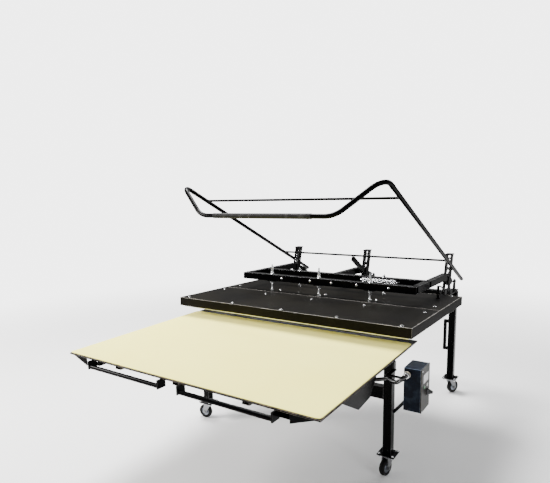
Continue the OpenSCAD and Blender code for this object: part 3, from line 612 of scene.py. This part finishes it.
bow_corners = [bow_top + arm_way * 0.12, bow_top, grip_end]
bow_corners += [other_side(p) for p in reversed(bow_corners)]
bow_path = arc_corners(bow_corners, (0.09, 0.06, 0.06, 0.09))
tube("bow", bow_path, bow_tube, "black_frame", "handle", ["handle_bow"], 40)
conduit_corners = [at(480, 98, 544), at(480, 98, 576), at(600, 57, 580), at(690, 57, 608),
                   at(780, -64, 640), at(868, -225, 737), at(868, -160, 737)]
conduit_path = arc_corners(conduit_corners, (0.02, 0.04, 0.03, 0.06, 0.055))
conduit_r = 0.012
tube("conduit_tube", conduit_path, conduit_r, "black_rubber", "frame", ["conduit"])
print("bow path:", len(bow_path), "points; arms at", round(arm_x), "mm")

# %% [markdown]
# ## Coil springs
# A coil spring is a wire wound at an even pitch, with its end turns closed up and a hook or loop
# turned out of the last one. The Spiral node gives the winding, and the same sweep as before gives
# the wire. Each spring is wound upright and then laid on its own axis.

# %% Wind the springs
def make_spring_tree():
    tree, given, result = geometry_tree("coil_spring", [
        ("Turns", "NodeSocketFloat", 10.0), ("Coil Radius", "NodeSocketFloat", 0.01),
        ("Length", "NodeSocketFloat", 0.1), ("Wire Radius", "NodeSocketFloat", 0.001),
        ("Material", "NodeSocketMaterial", None)])
    coil = tree.nodes.new("GeometryNodeCurveSpiral")
    coil.inputs["Resolution"].default_value = 20
    for label, sockets in (("Turns", ["Rotations"]), ("Coil Radius", ["Start Radius", "End Radius"]),
                           ("Length", ["Height"])):
        for socket in sockets:
            tree.links.new(given.outputs[label], coil.inputs[socket])
    wire = tree.nodes.new("GeometryNodeCurvePrimitiveCircle")
    wire.inputs["Resolution"].default_value = 10
    tree.links.new(given.outputs["Wire Radius"], wire.inputs["Radius"])
    sweep = tree.nodes.new("GeometryNodeCurveToMesh")
    sweep.inputs["Fill Caps"].default_value = True
    tree.links.new(coil.outputs[0], sweep.inputs["Curve"])
    tree.links.new(wire.outputs[0], sweep.inputs["Profile Curve"])
    finish_tree(tree, given, result, sweep.outputs[0])
    return tree

spring_tree = make_spring_tree()

def spring(name, start, end, coil_radius, wire_radius, turns, slot, body):
    """A coil from start to end, with its ends in the frame."""
    host = mesh_object(name, bpy.data.meshes.new(name))
    length = (end - start).length
    piece = baked(name, host, spring_tree, Turns=float(turns), Coil_Radius=coil_radius,
                  Length=length - 2 * wire_radius, Wire_Radius=wire_radius, Material=finishes[slot])
    way = (end - start).normalized()
    turn = way.to_track_quat("Z", "X").to_matrix().to_4x4()
    piece.data.transform(Matrix.Translation(start + way * wire_radius) @ turn)
    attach(piece, body)
    return piece

wire = 0.0034
rear_spring = spring("rear_bar_coil", on_head(199, 866, 986), on_head(458, 866, 986), 0.0155, wire, 24,
                     "chrome_spring", "head")
for name, x0, x1 in (("left", 462, 474), ("right", 183, 195)):
    hook = arc_corners([on_head(x1 if x0 > 300 else x0, 889, 986), on_head((x0 + x1) / 2, 889, 986),
                        on_head((x0 + x1) / 2, 866, 986), on_head(455 if x0 > 300 else 203, 866, 986)],
                       (0.004, 0.004), 6)
    tube("rear_bar_hook_" + name, hook, 0.0042, "bright_steel", "head", sides=14)
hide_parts("frame_spring")
post_places = (-665, 0, 665)
for label, x in zip(("left", "middle", "right"), post_places):
    lift = spring(f"lift_spring_{label}", at(x - 7, 1458, 1104), at(x - 7, 1430, 1018), 0.0046, 0.0009, 26,
                  "chrome_spring", "frame")
    if label == "left":
        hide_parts("lift_springs")
print("springs:", 1 + len(post_places))

# %% [markdown]
# ## Turned pieces
# Tyres, hubs, nuts, washers, the knob and the cone nuts are all turned shapes. One function spins
# a profile, which is a list of radius and height pairs, about any axis. Each stretch of a profile
# names its own slot, so that a wheel is one piece with a rubber tread and a bright hub.

# %% Spin a profile
def lathe(name, profile, centre, axis, slots, body, sides=56, replaced=()):
    """profile: (radius, height, slot index of the stretch that follows). Closed at radius 0."""
    work = bmesh.new()
    rings = []
    for radius, height, _ in profile:
        if radius < 1e-6:
            rings.append([work.verts.new((0, 0, height))])
        else:
            rings.append([work.verts.new((radius * math.cos(a), radius * math.sin(a), height))
                          for a in (2 * math.pi * i / sides for i in range(sides))])
    for (lower, upper), (_, _, index) in zip(zip(rings, rings[1:]), profile):
        for i in range(sides):
            j = (i + 1) % sides
            corners = [lower[i % len(lower)], lower[j % len(lower)],
                       upper[j % len(upper)], upper[i % len(upper)]]
            unique = [v for k, v in enumerate(corners) if v not in corners[:k]]
            face = work.faces.new(unique)
            face.material_index = index
            face.smooth = True
    bmesh.ops.recalc_face_normals(work, faces=work.faces)
    for edge in work.edges:
        edge.smooth = edge.calc_face_angle(0.0) < math.radians(33)
    mesh = bpy.data.meshes.new(name)
    work.to_mesh(mesh)
    work.free()
    for slot in slots:
        mesh.materials.append(finishes[slot])
    mesh.transform(Matrix.Translation(centre) @ Vector(axis).to_track_quat("Z", "X").to_matrix().to_4x4())
    piece = mesh_object(name, mesh)
    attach(piece, body)
    if replaced:
        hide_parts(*replaced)
    return piece

def mirrored(profile):
    """A profile from the middle height up, with its mirror image below."""
    lower = [(r, -h, i) for r, h, i in reversed(profile)]
    below = [(r, h, profile[len(profile) - 2 - k][2] if k < len(profile) - 1 else profile[0][2])
             for k, (r, h, _) in enumerate(lower)]
    return below + profile[1:]

wheel_r, wheel_half = 0.0508, 0.015
wheel_profile = [
    (wheel_r, 0.0, 0), (wheel_r - 0.0002, wheel_half * 0.45, 0), (wheel_r - 0.0014, wheel_half * 0.72, 0),
    (wheel_r - 0.0048, wheel_half * 0.94, 0), (wheel_r - 0.0085, wheel_half, 0), (0.0345, wheel_half * 0.99, 0),
    (0.0315, wheel_half * 0.93, 0), (0.0305, wheel_half * 0.8, 1), (0.029, wheel_half * 0.86, 1),
    (0.0275, wheel_half * 0.8, 1), (0.0262, wheel_half * 0.62, 1), (0.0195, wheel_half * 0.5, 1),
    (0.0185, wheel_half * 0.6, 1), (0.0155, wheel_half * 0.93, 1), (0.0105, wheel_half * 0.98, 1),
    (0.0095, wheel_half * 0.9, 1), (0.0062, wheel_half * 0.9, 1), (0.0, wheel_half * 0.9, 1)]
joint_of_child = {j["child"]: j for j in frame["joints"]}
for corner in ("front_left", "front_right", "rear_left", "rear_right"):
    roll = joint_of_child["wheel_" + corner]
    lathe("tyre_and_hub_" + corner, mirrored(wheel_profile), Vector(roll["pos_m"]), roll["axis"],
          ["caster_tyre", "hub_grey"], "wheel_" + corner, replaced=["wheel_" + corner])
print("wheels:", 4)

# %% [markdown]
# ## Bolts, set on the CAD's own places
# Each CAD bolt is one loose island of its node's mesh, so for the caster bolts the middle of every
# island says where a finished bolt goes, while the cover and bar screws stand at listed places. One
# detailed bolt is made, with a washer, a flange and a crowned hex head, and a Geometry Nodes tree
# puts it on each point, square to the sheet and turned by a seeded amount.

# %% Find the islands of a CAD part
def islands(node):
    """The lowest and highest corners of each loose solid of a CAD part."""
    soup = bmesh.new()
    soup.from_mesh(nodes[node].data)
    bmesh.ops.remove_doubles(soup, verts=soup.verts, dist=2e-5)
    seen, boxes = set(), []
    for start in soup.verts:
        if start in seen:
            continue
        seen.add(start)
        waiting, members = [start], []
        while waiting:
            vert = waiting.pop()
            members.append(vert.co.copy())
            for edge in vert.link_edges:
                other = edge.other_vert(vert)
                if other not in seen:
                    seen.add(other)
                    waiting.append(other)
        boxes.append((Vector([min(c[i] for c in members) for i in range(3)]),
                      Vector([max(c[i] for c in members) for i in range(3)])))
    soup.free()
    return boxes

def turned_prism(work, profile, sides, twist=0.0):
    rings = [[work.verts.new((r * math.cos(twist + 2 * math.pi * i / sides),
                              r * math.sin(twist + 2 * math.pi * i / sides), h)) for i in range(sides)]
             for r, h in profile]
    for lower, upper in zip(rings, rings[1:]):
        for i in range(sides):
            j = (i + 1) % sides
            work.faces.new((lower[i], lower[j], upper[j], upper[i]))
    work.faces.new(list(reversed(rings[0])))
    work.faces.new(rings[-1])

def bolt_shape(name, washer_r, washer_t, hex_r, head_h):
    """A washer, a flange and a crowned hex head that stand on the plane Z = 0."""
    work = bmesh.new()
    turned_prism(work, [(washer_r, 0), (washer_r, washer_t * 0.8), (washer_r * 0.96, washer_t)], 28)
    z = washer_t
    turned_prism(work, [(hex_r * 1.12, z), (hex_r * 1.1, z + 0.0006), (hex_r * 1.0, z + 0.001)], 24)
    turned_prism(work, [(hex_r * 0.98, z + 0.0008), (hex_r * 0.98, z + head_h * 0.78),
                        (hex_r * 0.86, z + head_h * 0.96)], 6)
    turned_prism(work, [(hex_r * 0.8, z + head_h * 0.9), (hex_r * 0.78, z + head_h * 0.97),
                        (hex_r * 0.5, z + head_h)], 20)
    for edge in work.edges:
        edge.smooth = False
    mesh = bpy.data.meshes.new(name)
    work.to_mesh(mesh)
    work.free()
    return mesh

def make_bolt_tree():
    tree, given, result = geometry_tree("bolts_on_points", [
        ("Bolt", "NodeSocketObject", None), ("Axis", "NodeSocketVector", (0, 0, 1)), ("Seed", "NodeSocketInt", 1),
        ("Material", "NodeSocketMaterial", None)])
    bolt = tree.nodes.new("GeometryNodeObjectInfo")
    tree.links.new(given.outputs["Bolt"], bolt.inputs["Object"])
    align = tree.nodes.new("FunctionNodeAlignEulerToVector")
    align.axis = "Z"
    tree.links.new(given.outputs["Axis"], align.inputs["Vector"])
    instance = tree.nodes.new("GeometryNodeInstanceOnPoints")
    tree.links.new(given.outputs["Geometry"], instance.inputs["Points"])
    tree.links.new(bolt.outputs["Geometry"], instance.inputs["Instance"])
    tree.links.new(align.outputs[0], instance.inputs["Rotation"])
    chance = tree.nodes.new("FunctionNodeRandomValue")
    chance.data_type = "FLOAT"
    chance.inputs[3].default_value = math.pi
    tree.links.new(given.outputs["Seed"], chance.inputs["Seed"])
    about = tree.nodes.new("ShaderNodeCombineXYZ")
    tree.links.new(chance.outputs[1], about.inputs["Z"])
    twist = tree.nodes.new("GeometryNodeRotateInstances")
    tree.links.new(instance.outputs[0], twist.inputs["Instances"])
    tree.links.new(about.outputs[0], twist.inputs["Rotation"])
    finish_tree(tree, given, result, twist.outputs[0])
    return tree

bolt_tree = make_bolt_tree()

def bolts(name, places, axis, shape, slot, body, replaced=(), seed=7):
    """One piece with a copy of the shape at each place, standing along the axis."""
    host_mesh = bpy.data.meshes.new(name)
    host_mesh.from_pydata([tuple(p) for p in places], [], [])
    pattern = mesh_object(name + "_pattern", shape)
    piece = baked(name, mesh_object(name, host_mesh), bolt_tree, Bolt=pattern, Axis=tuple(axis), Seed=seed,
                  Material=finishes[slot])
    bpy.data.objects.remove(pattern)
    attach(piece, body)
    if replaced:
        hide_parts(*replaced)
    return piece

# %% Set the bolts
head_up = (open_head.to_3x3() @ Vector((0, 0, 1))).normalized()
head_front = (open_head.to_3x3() @ Vector((0, -1, 0))).normalized()

def island_tops(node, axis, height):
    """The point under each island's outer end, height back along the axis."""
    places = []
    for low, high in islands(node):
        middle_point = (low + high) / 2
        reach = sum(abs(axis[i]) * (high[i] - low[i]) / 2 for i in range(3))
        places.append(middle_point + Vector(axis) * (reach - height))
    return places

def raised_places(xs, ys, z):
    return [on_head(x, y, z) for x in xs for y in ys]

cover_w, cover_d, cover_z, bar_z = 1676, 1152, 882, 962
cover_bolt_xs = [share * cover_w for share in (-0.4612, -0.2306, 0, 0.2306, 0.4612)]
bolts("cover_screws", raised_places(cover_bolt_xs, (31, 457, 677, cover_d - 31), cover_z), head_up,
      bolt_shape("cover_screw", 0.012, 0.0015, 0.0083, 0.0055), "bright_steel", "head", ["cover_bolts"], 3)
bolts("bar_screws", raised_places((-325, -85, 85, 275, 500), (589,), bar_z + 25), head_front,
      bolt_shape("bar_screw", 0.009, 0.0015, 0.0063, 0.005), "bright_steel", "head", ["bar_bolts"], 5)
caster_places = island_tops("caster_bolts", (0, 0, 1), 0.0)
foot_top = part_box("foot_plates")[1]
bolts("foot_screws", [(p[0], p[1], foot_top[2]) for p in caster_places], (0, 0, 1),
      bolt_shape("foot_screw", 0.0085, 0.0012, 0.006, 0.0045), "bright_steel", "frame", seed=9)
print("bolts:", len(islands("cover_bolts")), len(islands("bar_bolts")), len(caster_places))

# %% [markdown]
# ## Pressure studs and cone nuts
# The head is pressed down through threaded studs. Each has a turned foot on the cover, a polished
# neck, and a thread that runs up through the bar to a washer with a lock nut on top, and the front
# studs have a tall cone nut between them. A thread this fine reads as close rings, so it is spun
# with the rest of the stud.

# %% Studs
def thread(low, high, radius, pitch, slot_index=0):
    """Ring profile of a thread from low to high."""
    turns = max(2, int((high - low) / pitch))
    step = (high - low) / turns
    profile = []
    for i in range(turns):
        profile += [(radius, low + i * step, slot_index), (radius * 0.88, low + (i + 0.5) * step, slot_index)]
    return profile + [(radius, high, slot_index)]

stud_front, stud_rear = (-425, -25, 362), (-350, 350)
bar_front, bar_rear, bar_side = 589, 890, 50

def stud_piece(label, x, y, above, cone, first):
    foot = on_head(x, y, cover_z)
    rise = (bar_z - cover_z) / 1000
    bar_top = rise + bar_side / 1000
    profile = [(0, 0, 0), (0.0128, 0, 0), (0.0128, 0.004, 0), (0.0118, 0.0048, 0), (0.0118, 0.011, 0),
               (0.0088, 0.0135, 0), (0.0072, 0.014, 0), (0.006, 0.016, 0), (0.006, rise - 0.03, 0)]
    profile += thread(rise - 0.028, bar_top + above - 0.002, 0.006, 0.0025)
    profile += [(0.0045, bar_top + above, 0), (0, bar_top + above, 0)]
    lathe("stud_" + label, profile, foot, head_up, ["bright_steel"], "head", 28,
                 ["pressure_studs"] if first else ())
    nut = [(0.0061, rise - 0.02, 0), (0.014, rise - 0.02, 0), (0.015, rise - 0.019, 0), (0.015, rise - 0.013, 0),
           (0.0142, rise - 0.0125, 0), (0.0142, rise - 0.0117, 0), (0.015, rise - 0.011, 0),
           (0.015, rise - 0.0062, 0), (0.0061, rise - 0.0062, 0)]
    lathe("collar_" + label, nut + [nut[0]], foot, head_up, ["bright_steel"], "head", 36,
          ["stud_nuts"] if first else ())
    top = [(0.0061, bar_top, 0), (0.018, bar_top, 0), (0.018, bar_top + 0.0024, 0), (0.0172, bar_top + 0.003, 0)]
    if cone:
        top += [(0.0148, bar_top + 0.0032, 0), (0.0148, bar_top + 0.006, 0), (0.0138, bar_top + 0.0068, 0),
                (0.0112, bar_top + 0.022, 0), (0.0106, bar_top + 0.0225, 0), (0.0108, bar_top + 0.024, 0),
                (0.0082, bar_top + 0.0425, 0)]
    top += [(0.0061, top[-1][1] + 0.0004, 0)]
    lathe("cone_" + label, top + [top[0]], foot, head_up, ["bright_steel"], "head", 40)
    z = top[-1][1] + 0.0004
    lock = [(0.0061, z, 0), (0.0088, z, 0), (0.0099, z + 0.0014, 0), (0.0099, z + 0.0072, 0),
            (0.0088, z + 0.0086, 0), (0.0061, z + 0.0086, 0)]
    lathe("lock_nut_" + label, lock + [lock[0]], foot, head_up, ["bright_steel"], "head", 6)

for i, x in enumerate(stud_front):
    stud_piece(f"front_{i + 1}", x, bar_front + bar_side / 2, 0.076, True, i == 0)
for i, x in enumerate(stud_rear):
    stud_piece(f"rear_{i + 1}", x, bar_rear + bar_side / 2, 0.022, False, False)
print("studs:", len(stud_front) + len(stud_rear))

# %% [markdown]
# ## The pad
# The table carries a thin silicone foam pad in a cream heat-proof cloth, bonded to a dark plate.
# It is flat where it is bonded and only its edges roll over. A sheet of small squares is bent over
# at its rim, its corners are rounded, and seeded unevenness of a few tenths of a millimetre keeps
# the top from being a perfect plane. The weave is in the material, a thread every millimetre.

# %% Pad cloth material
def make_weave():
    tree, given, result = group_tree("cloth_weave", [("Threads", "f", 900.0), ("Depth", "f", 1.0)],
                                     [("Height", "f")])
    place = tree.nodes.new("ShaderNodeTexCoord").outputs["Object"]
    waves = []
    for direction in ("X", "Y"):
        wave = tree.nodes.new("ShaderNodeTexWave")
        wave.bands_direction = direction
        wave.inputs["Distortion"].default_value = 0.6
        wave.inputs["Detail"].default_value = 1.0
        tree.links.new(place, wave.inputs["Vector"])
        tree.links.new(given.outputs["Threads"], wave.inputs["Scale"])
        waves.append(wave.outputs["Fac"])
    put(tree, maths(tree, "MULTIPLY", maths(tree, "MAXIMUM", *waves), given.outputs["Depth"]),
        result.inputs["Height"])
    return tree

weave = make_weave()
cloth, tree, shader = shader_of("pad_cloth_woven", Sheen_Weight=0.25, Specular_IOR_Level=0.2)
skin = place_group(tree, patches, Colour=(1.0, 0.93, 0.2, 1), Other_Colour=(0.97, 0.87, 0.15, 1),
                   Patch_Scale=2.2, Patch_Amount=0.45, Grain_Scale=180.0, Grain_Amount=0.35,
                   Roughness=0.8, Roughness_Spread=0.06)
tree.links.new(skin["Colour"], shader.inputs["Base Color"])
tree.links.new(skin["Roughness"], shader.inputs["Roughness"])
bump(tree, shader, place_group(tree, weave, Threads=320.0, Depth=1.0)["Height"], 0.35, 0.0004)
finishes["pad_cream"] = cloth
# The pad's sides and underside are near black. This is painted shade below the pad's rolled edge.
finishes["pad_edge"] = painted("pad_edge_bond", (0.006, 0.004, 0.002), (0.06, 0.035, 0.012), 0.6,
                               patch=(60.0, 0.9))
print("pad materials:", cloth.name)

# %% Make the pad
pad_low, pad_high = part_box("table_pad")

def pad_mesh(corner_r=0.014, roll=0.0022, cell=0.02, unevenness=0.00025):
    low, high = Vector(pad_low), Vector(pad_high)
    half = (high - low) / 2
    centre = (high + low) / 2
    rng = random.Random(11)
    ripple = [(rng.uniform(2, 9), rng.uniform(2, 9), rng.uniform(0, 6.28)) for _ in range(5)]
    work = bmesh.new()
    nx, ny = int(2 * half.x / cell), int(2 * half.y / cell)
    def inside(x, y, inset):
        """The point moved in by inset, with the plan's corners rounded."""
        hx, hy, r = half.x - inset, half.y - inset, max(corner_r - inset, 0.002)
        x, y = max(-hx, min(hx, x)), max(-hy, min(hy, y))
        ox, oy = abs(x) - (hx - r), abs(y) - (hy - r)
        if ox > 0 and oy > 0:
            reach = math.hypot(ox, oy)
            if reach > r:
                ox, oy = ox * r / reach, oy * r / reach
            x, y = math.copysign(hx - r + ox, x), math.copysign(hy - r + oy, y)
        return x, y
    top = high.z
    grid = {}
    for i in range(nx + 1):
        for j in range(ny + 1):
            x, y = inside(-half.x + 2 * half.x * i / nx, -half.y + 2 * half.y * j / ny, roll)
            rim = min(half.x - abs(x), half.y - abs(y))
            swell = sum(math.sin(a * x + b * y + c) for a, b, c in ripple) / 5
            lift = unevenness * swell * min(1, rim / 0.03) - unevenness
            grid[i, j] = work.verts.new((centre.x + x, centre.y + y, top + lift))
    for i in range(nx):
        for j in range(ny):
            work.faces.new((grid[i, j], grid[i + 1, j], grid[i + 1, j + 1], grid[i, j + 1]))
    border = ([(i, 0) for i in range(nx)] + [(nx, j) for j in range(ny)]
              + [(i, ny) for i in range(nx, 0, -1)] + [(0, j) for j in range(ny, 0, -1)])
    ring = [grid[key] for key in border]
    for out, z in ((0.3, -0.15), (0.75, -0.55), (1.0, -1.0)):
        new_ring = []
        for key in border:
            gx, gy = -half.x + 2 * half.x * key[0] / nx, -half.y + 2 * half.y * key[1] / ny
            x, y = inside(gx, gy, roll * (1 - out))
            new_ring.append(work.verts.new((centre.x + x, centre.y + y, top - 0.0001 + roll * z)))
        for k in range(len(ring)):
            n = (k + 1) % len(ring)
            work.faces.new((ring[k], new_ring[k], new_ring[n], ring[n]))
        ring = new_ring
    # The sides and underside take slot 1, the near-black painted shade.
    skirt = [work.verts.new((v.co.x, v.co.y, low.z)) for v in ring]
    for k in range(len(ring)):
        n = (k + 1) % len(ring)
        side = work.faces.new((ring[k], skirt[k], skirt[n], ring[n]))
        side.material_index = 1
    bottom = work.faces.new(skirt)
    bottom.material_index = 1
    bmesh.ops.recalc_face_normals(work, faces=work.faces)
    for face in work.faces:
        face.smooth = True
    mesh = bpy.data.meshes.new("pad")
    work.to_mesh(mesh)
    work.free()
    mesh.materials.append(finishes["pad_cream"])
    mesh.materials.append(finishes["pad_edge"])
    return mesh

pad = mesh_object("pad", pad_mesh())
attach(pad, "table")
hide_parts("table_pad")
print("pad faces:", len(pad.data.polygons))

# %% [markdown]
# ## Small hardware
# A press like this is full of small turned and bent parts: the conduit's gland, collars where the
# bow joins its arms, the switch knob with its pointer, and the cable that loops from the heater's
# post. They are small, but they tell the eye how large the press is.

# %% Gland, grip collars and tube ends
finishes["fitting_cream"] = painted("gland_nylon", (0.5, 0.46, 0.36), (0.3, 0.27, 0.2), 0.35, patch=(70.0, 0.6),
                                    bare=(0.6, 0.58, 0.5))
gland = at(868, -160, 737)
lathe("conduit_gland", [(0.0122, -0.026, 0), (0.0158, -0.0255, 0), (0.0166, -0.0235, 0), (0.0166, -0.0165, 0),
                        (0.0152, -0.016, 0), (0.0152, -0.0145, 0), (0.0174, -0.014, 1), (0.0178, -0.012, 1),
                        (0.0178, -0.004, 1), (0.017, -0.002, 1), (0.017, -0.0002, 1), (0.0122, -0.0002, 1),
                        (0.0122, -0.026, 0)],
      gland, (0, 1, 0), ["bright_steel", "fitting_cream"], "frame", 36)
lathe("conduit_floor_nut", [(0.0122, 0.0002, 0), (0.018, 0.0002, 0), (0.019, 0.001, 0), (0.019, 0.007, 0),
                            (0.0175, 0.009, 0), (0.0138, 0.0095, 0), (0.0135, 0.013, 0), (0.0122, 0.0135, 0),
                            (0.0122, 0.0002, 0)],
      at(480, 98, 544), (0, 0, 1), ["bright_steel"], "frame", 30)
sleeve_low, sleeve_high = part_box("grip_sleeve")
grip_y, grip_z = (sleeve_low[1] + sleeve_high[1]) / 2, (sleeve_low[2] + sleeve_high[2]) / 2
sleeve_r = (sleeve_high[2] - sleeve_low[2]) / 2

def sleeve_profile(length, rib=0.006, depth=0.0003):
    """A rubber sleeve with rolled ends and fine ribs round it."""
    profile = [(bow_tube, 0, 0), (sleeve_r - 0.0015, 0.0, 0), (sleeve_r - 0.0003, 0.0008, 0),
               (sleeve_r, 0.002, 0),
               (sleeve_r, 0.007, 0), (sleeve_r - 0.0008, 0.0078, 0)]
    count = int((length - 0.02) / rib)
    for i in range(count):
        start = 0.01 + i * (length - 0.02) / count
        profile += [(sleeve_r - 0.0002, start, 0), (sleeve_r - 0.0002 - depth, start + rib * 0.5, 0)]
    return profile + [(sleeve_r - 0.0008, length - 0.0078, 0), (sleeve_r, length - 0.007, 0),
                      (sleeve_r, length - 0.002, 0), (sleeve_r - 0.0003, length - 0.0008, 0),
                      (sleeve_r - 0.0015, length, 0), (bow_tube, length, 0), (bow_tube, 0, 0)]

lathe("sleeve", sleeve_profile(sleeve_high[0] - sleeve_low[0]),
      Vector((sleeve_low[0], grip_y, grip_z)), (1, 0, 0),
      ["grip_rubber"], "handle", 36, ["grip_sleeve"])

def collar(name, centre, axis, inner, outer, half, slot, body):
    lathe(name, [(inner, -half, 0), (outer - 0.0005, -half, 0), (outer, -half + 0.0006, 0),
                 (outer, half - 0.0006, 0), (outer - 0.0005, half, 0), (inner, half, 0), (inner, -half, 0)],
          centre, axis, [slot], body, 36)

bow_start = at(arm_x, -67, 1748) + arm_way * 0.12
for label, centre in (("right", bow_start), ("left", other_side(bow_start))):
    collar("bow_joint_" + label, centre, arm_way, 0.0139, 0.0152, 0.011, "black_frame", "handle")
print("sleeve radius:", round(sleeve_r, 4), "gland at", [round(v, 3) for v in gland])

# %% Switch knob, keys and window on the control box
knob_low, knob_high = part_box("main_knob")
panel_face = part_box("control_panel")[1][0]
knob_y, knob_z = (knob_low[1] + knob_high[1]) / 2, (knob_low[2] + knob_high[2]) / 2
knob_end = knob_high[0] - panel_face
lathe("switch_knob", [(0, -0.012, 0), (0.0062, -0.012, 0), (0.0062, 0.0008, 0), (0.0192, 0.0012, 0),
                      (0.02, 0.002, 0),
                      (0.02, 0.0052, 0), (0.0186, 0.0066, 0), (0.0148, 0.012, 0), (0.0112, 0.019, 0),
                      (0.0085, 0.0262, 0), (0.0068, knob_end - 0.0008, 0), (0.0052, knob_end, 0),
                      (0, knob_end, 0)],
      Vector((panel_face, knob_y, knob_z)), (1, 0, 0), ["knob_black"], "main_knob", 40, ["main_knob"])

def flat_strip(name, corners, thickness, slot, body):
    """A thin raised mark: a closed plate over four corners, with its thickness along +X."""
    work = bmesh.new()
    low = [work.verts.new(c) for c in corners]
    high = [work.verts.new(Vector(c) + Vector((thickness, 0, 0))) for c in corners]
    work.faces.new(low)
    work.faces.new(list(reversed(high)))
    for i in range(4):
        j = (i + 1) % 4
        work.faces.new((low[j], low[i], high[i], high[j]))
    bmesh.ops.recalc_face_normals(work, faces=work.faces)
    mesh = bpy.data.meshes.new(name)
    work.to_mesh(mesh)
    work.free()
    mesh.materials.append(finishes[slot])
    piece = mesh_object(name, mesh)
    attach(piece, body)
    return piece

flat_strip("knob_pointer", [Vector((panel_face + 0.0048, knob_y - 0.001, knob_z + 0.0196)),
                            Vector((panel_face + 0.0048, knob_y + 0.001, knob_z + 0.0196)),
                            Vector((panel_face + 0.0225, knob_y + 0.0008, knob_z + 0.0098)),
                            Vector((panel_face + 0.0225, knob_y - 0.0008, knob_z + 0.0098))],
           0.0014, "key_white", "main_knob")
for i in range(9):
    angle = math.radians(-30 + i * 30)
    inner, outer = 0.0235, 0.0275 if i % 2 == 0 else 0.0255
    way = Vector((0, -math.sin(angle), math.cos(angle)))
    side = Vector((0, way.z, -way.y)) * 0.0005
    base = Vector((panel_face - 0.00005, knob_y, knob_z))
    flat_strip(f"dial_mark_{i}", [base + way * inner - side, base + way * inner + side,
                                  base + way * outer + side, base + way * outer - side],
               0.00025, "key_white", "frame")
print("knob:", [round(v, 3) for v in (panel_face, knob_y, knob_z)])

# %% Post and looped cable
post = on_head(715, 980, cover_z)
loop_middle = on_head(722, 980, cover_z + 62)
up, aside = head_up, Vector((1, 0, 0))
loop = [loop_middle + (aside * math.cos(math.radians(a)) + up * math.sin(math.radians(a))) * 0.026
        for a in range(115, -116, -5)]
tube("post_cable", loop, 0.005, "black_rubber", "head", ["cable_post"], 16)
lathe("post", [(0, 0, 0), (0.0135, 0, 0), (0.0135, 0.003, 0), (0.0095, 0.0038, 0), (0.0088, 0.006, 0),
               (0.0088, 0.048, 0), (0.0078, 0.049, 0), (0.0078, 0.052, 0), (0.0088, 0.053, 0), (0.0088, 0.088, 0),
               (0.0075, 0.0912, 0), (0, 0.092, 0)], post, head_up, ["black_frame"], "head", 28)

# %% [markdown]
# ## Weld beads
# Tubes and plates on a frame like this are joined by fillet welds, which show under the paint as a
# row of overlapping scallops. A Geometry Nodes tree puts a round bead every few millimetres along
# a line, with a small seeded change of size, and the frame's enamel covers it.

# %% Run the beads
def make_bead_tree():
    tree, given, result = geometry_tree("weld_beads", [
        ("Spacing", "NodeSocketFloat", 0.004), ("Bead Radius", "NodeSocketFloat", 0.003), ("Seed", "NodeSocketInt", 2),
        ("Material", "NodeSocketMaterial", None)])
    spread = tree.nodes.new("GeometryNodeCurveToPoints")
    spread.mode = "LENGTH"
    tree.links.new(given.outputs["Geometry"], spread.inputs["Curve"])
    tree.links.new(given.outputs["Spacing"], spread.inputs["Length"])
    bead = tree.nodes.new("GeometryNodeMeshIcoSphere")
    bead.inputs["Subdivisions"].default_value = 2
    tree.links.new(given.outputs["Bead Radius"], bead.inputs["Radius"])
    chance = tree.nodes.new("FunctionNodeRandomValue")
    chance.data_type = "FLOAT"
    chance.inputs[2].default_value, chance.inputs[3].default_value = 0.85, 1.12
    tree.links.new(given.outputs["Seed"], chance.inputs["Seed"])
    instance = tree.nodes.new("GeometryNodeInstanceOnPoints")
    tree.links.new(spread.outputs["Points"], instance.inputs["Points"])
    tree.links.new(bead.outputs["Mesh"], instance.inputs["Instance"])
    tree.links.new(chance.outputs[1], instance.inputs["Scale"])
    finish_tree(tree, given, result, instance.outputs[0])
    return tree

bead_tree = make_bead_tree()

def weld(name, points, slot, body, radius=0.003, seed=2):
    piece = baked(name, path_curve(name, points), bead_tree, Spacing=radius * 1.25, Bead_Radius=radius, Seed=seed,
                  Material=finishes[slot])
    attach(piece, body)

count = 0
for side, x in (("left", -1), ("right", 1)):
    for label, y in (("front", bar_front + bar_side), ("rear", bar_rear)):
        inner = x * 640
        weld(f"bar_weld_{side}_{label}", [on_head(inner, y, bar_z + 2), on_head(inner, y, bar_z + 48)],
             "black_frame", "head", seed=count)
        weld(f"bar_weld_top_{side}_{label}", [on_head(x * 642, y, bar_z + 50), on_head(x * 678, y, bar_z + 50)],
             "black_frame", "head", seed=count + 20)
        count += 2
for side, x in (("left", -686), ("right", 686)):
    for row, y in (("front", 98), ("rear", 1555)):
        corner_points = [at(x + dx * 26.5, y + dy * 26.5, 134.5) for dx, dy in
                         ((-1, -1), (1, -1), (1, 1), (-1, 1), (-1, -1))]
        weld(f"leg_weld_{row}_{side}", corner_points, "black_frame", "frame", 0.0028, seed=count)
        count += 1
print("weld runs:", count)

# %% [markdown]
# ## Finish the CAD parts that stay, and close
# Parts whose CAD shape is already right keep it and get their finish.

# %% Materials on the parts that stay
kept = []
for node, part in nodes.items():
    if part.hide_render:
        continue
    part.data.materials.clear()
    part.data.materials.append(finishes[slot_of_node[node]])
    kept.append(node)
print("kept CAD parts:", kept)

# %% Boxes and finish
model_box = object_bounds()
grown = [[round((m - c) * 1000, 1) for m, c in zip(model_box[i], cad_box[i])] for i in (0, 1)]
print("sides grew by, mm:", grown)
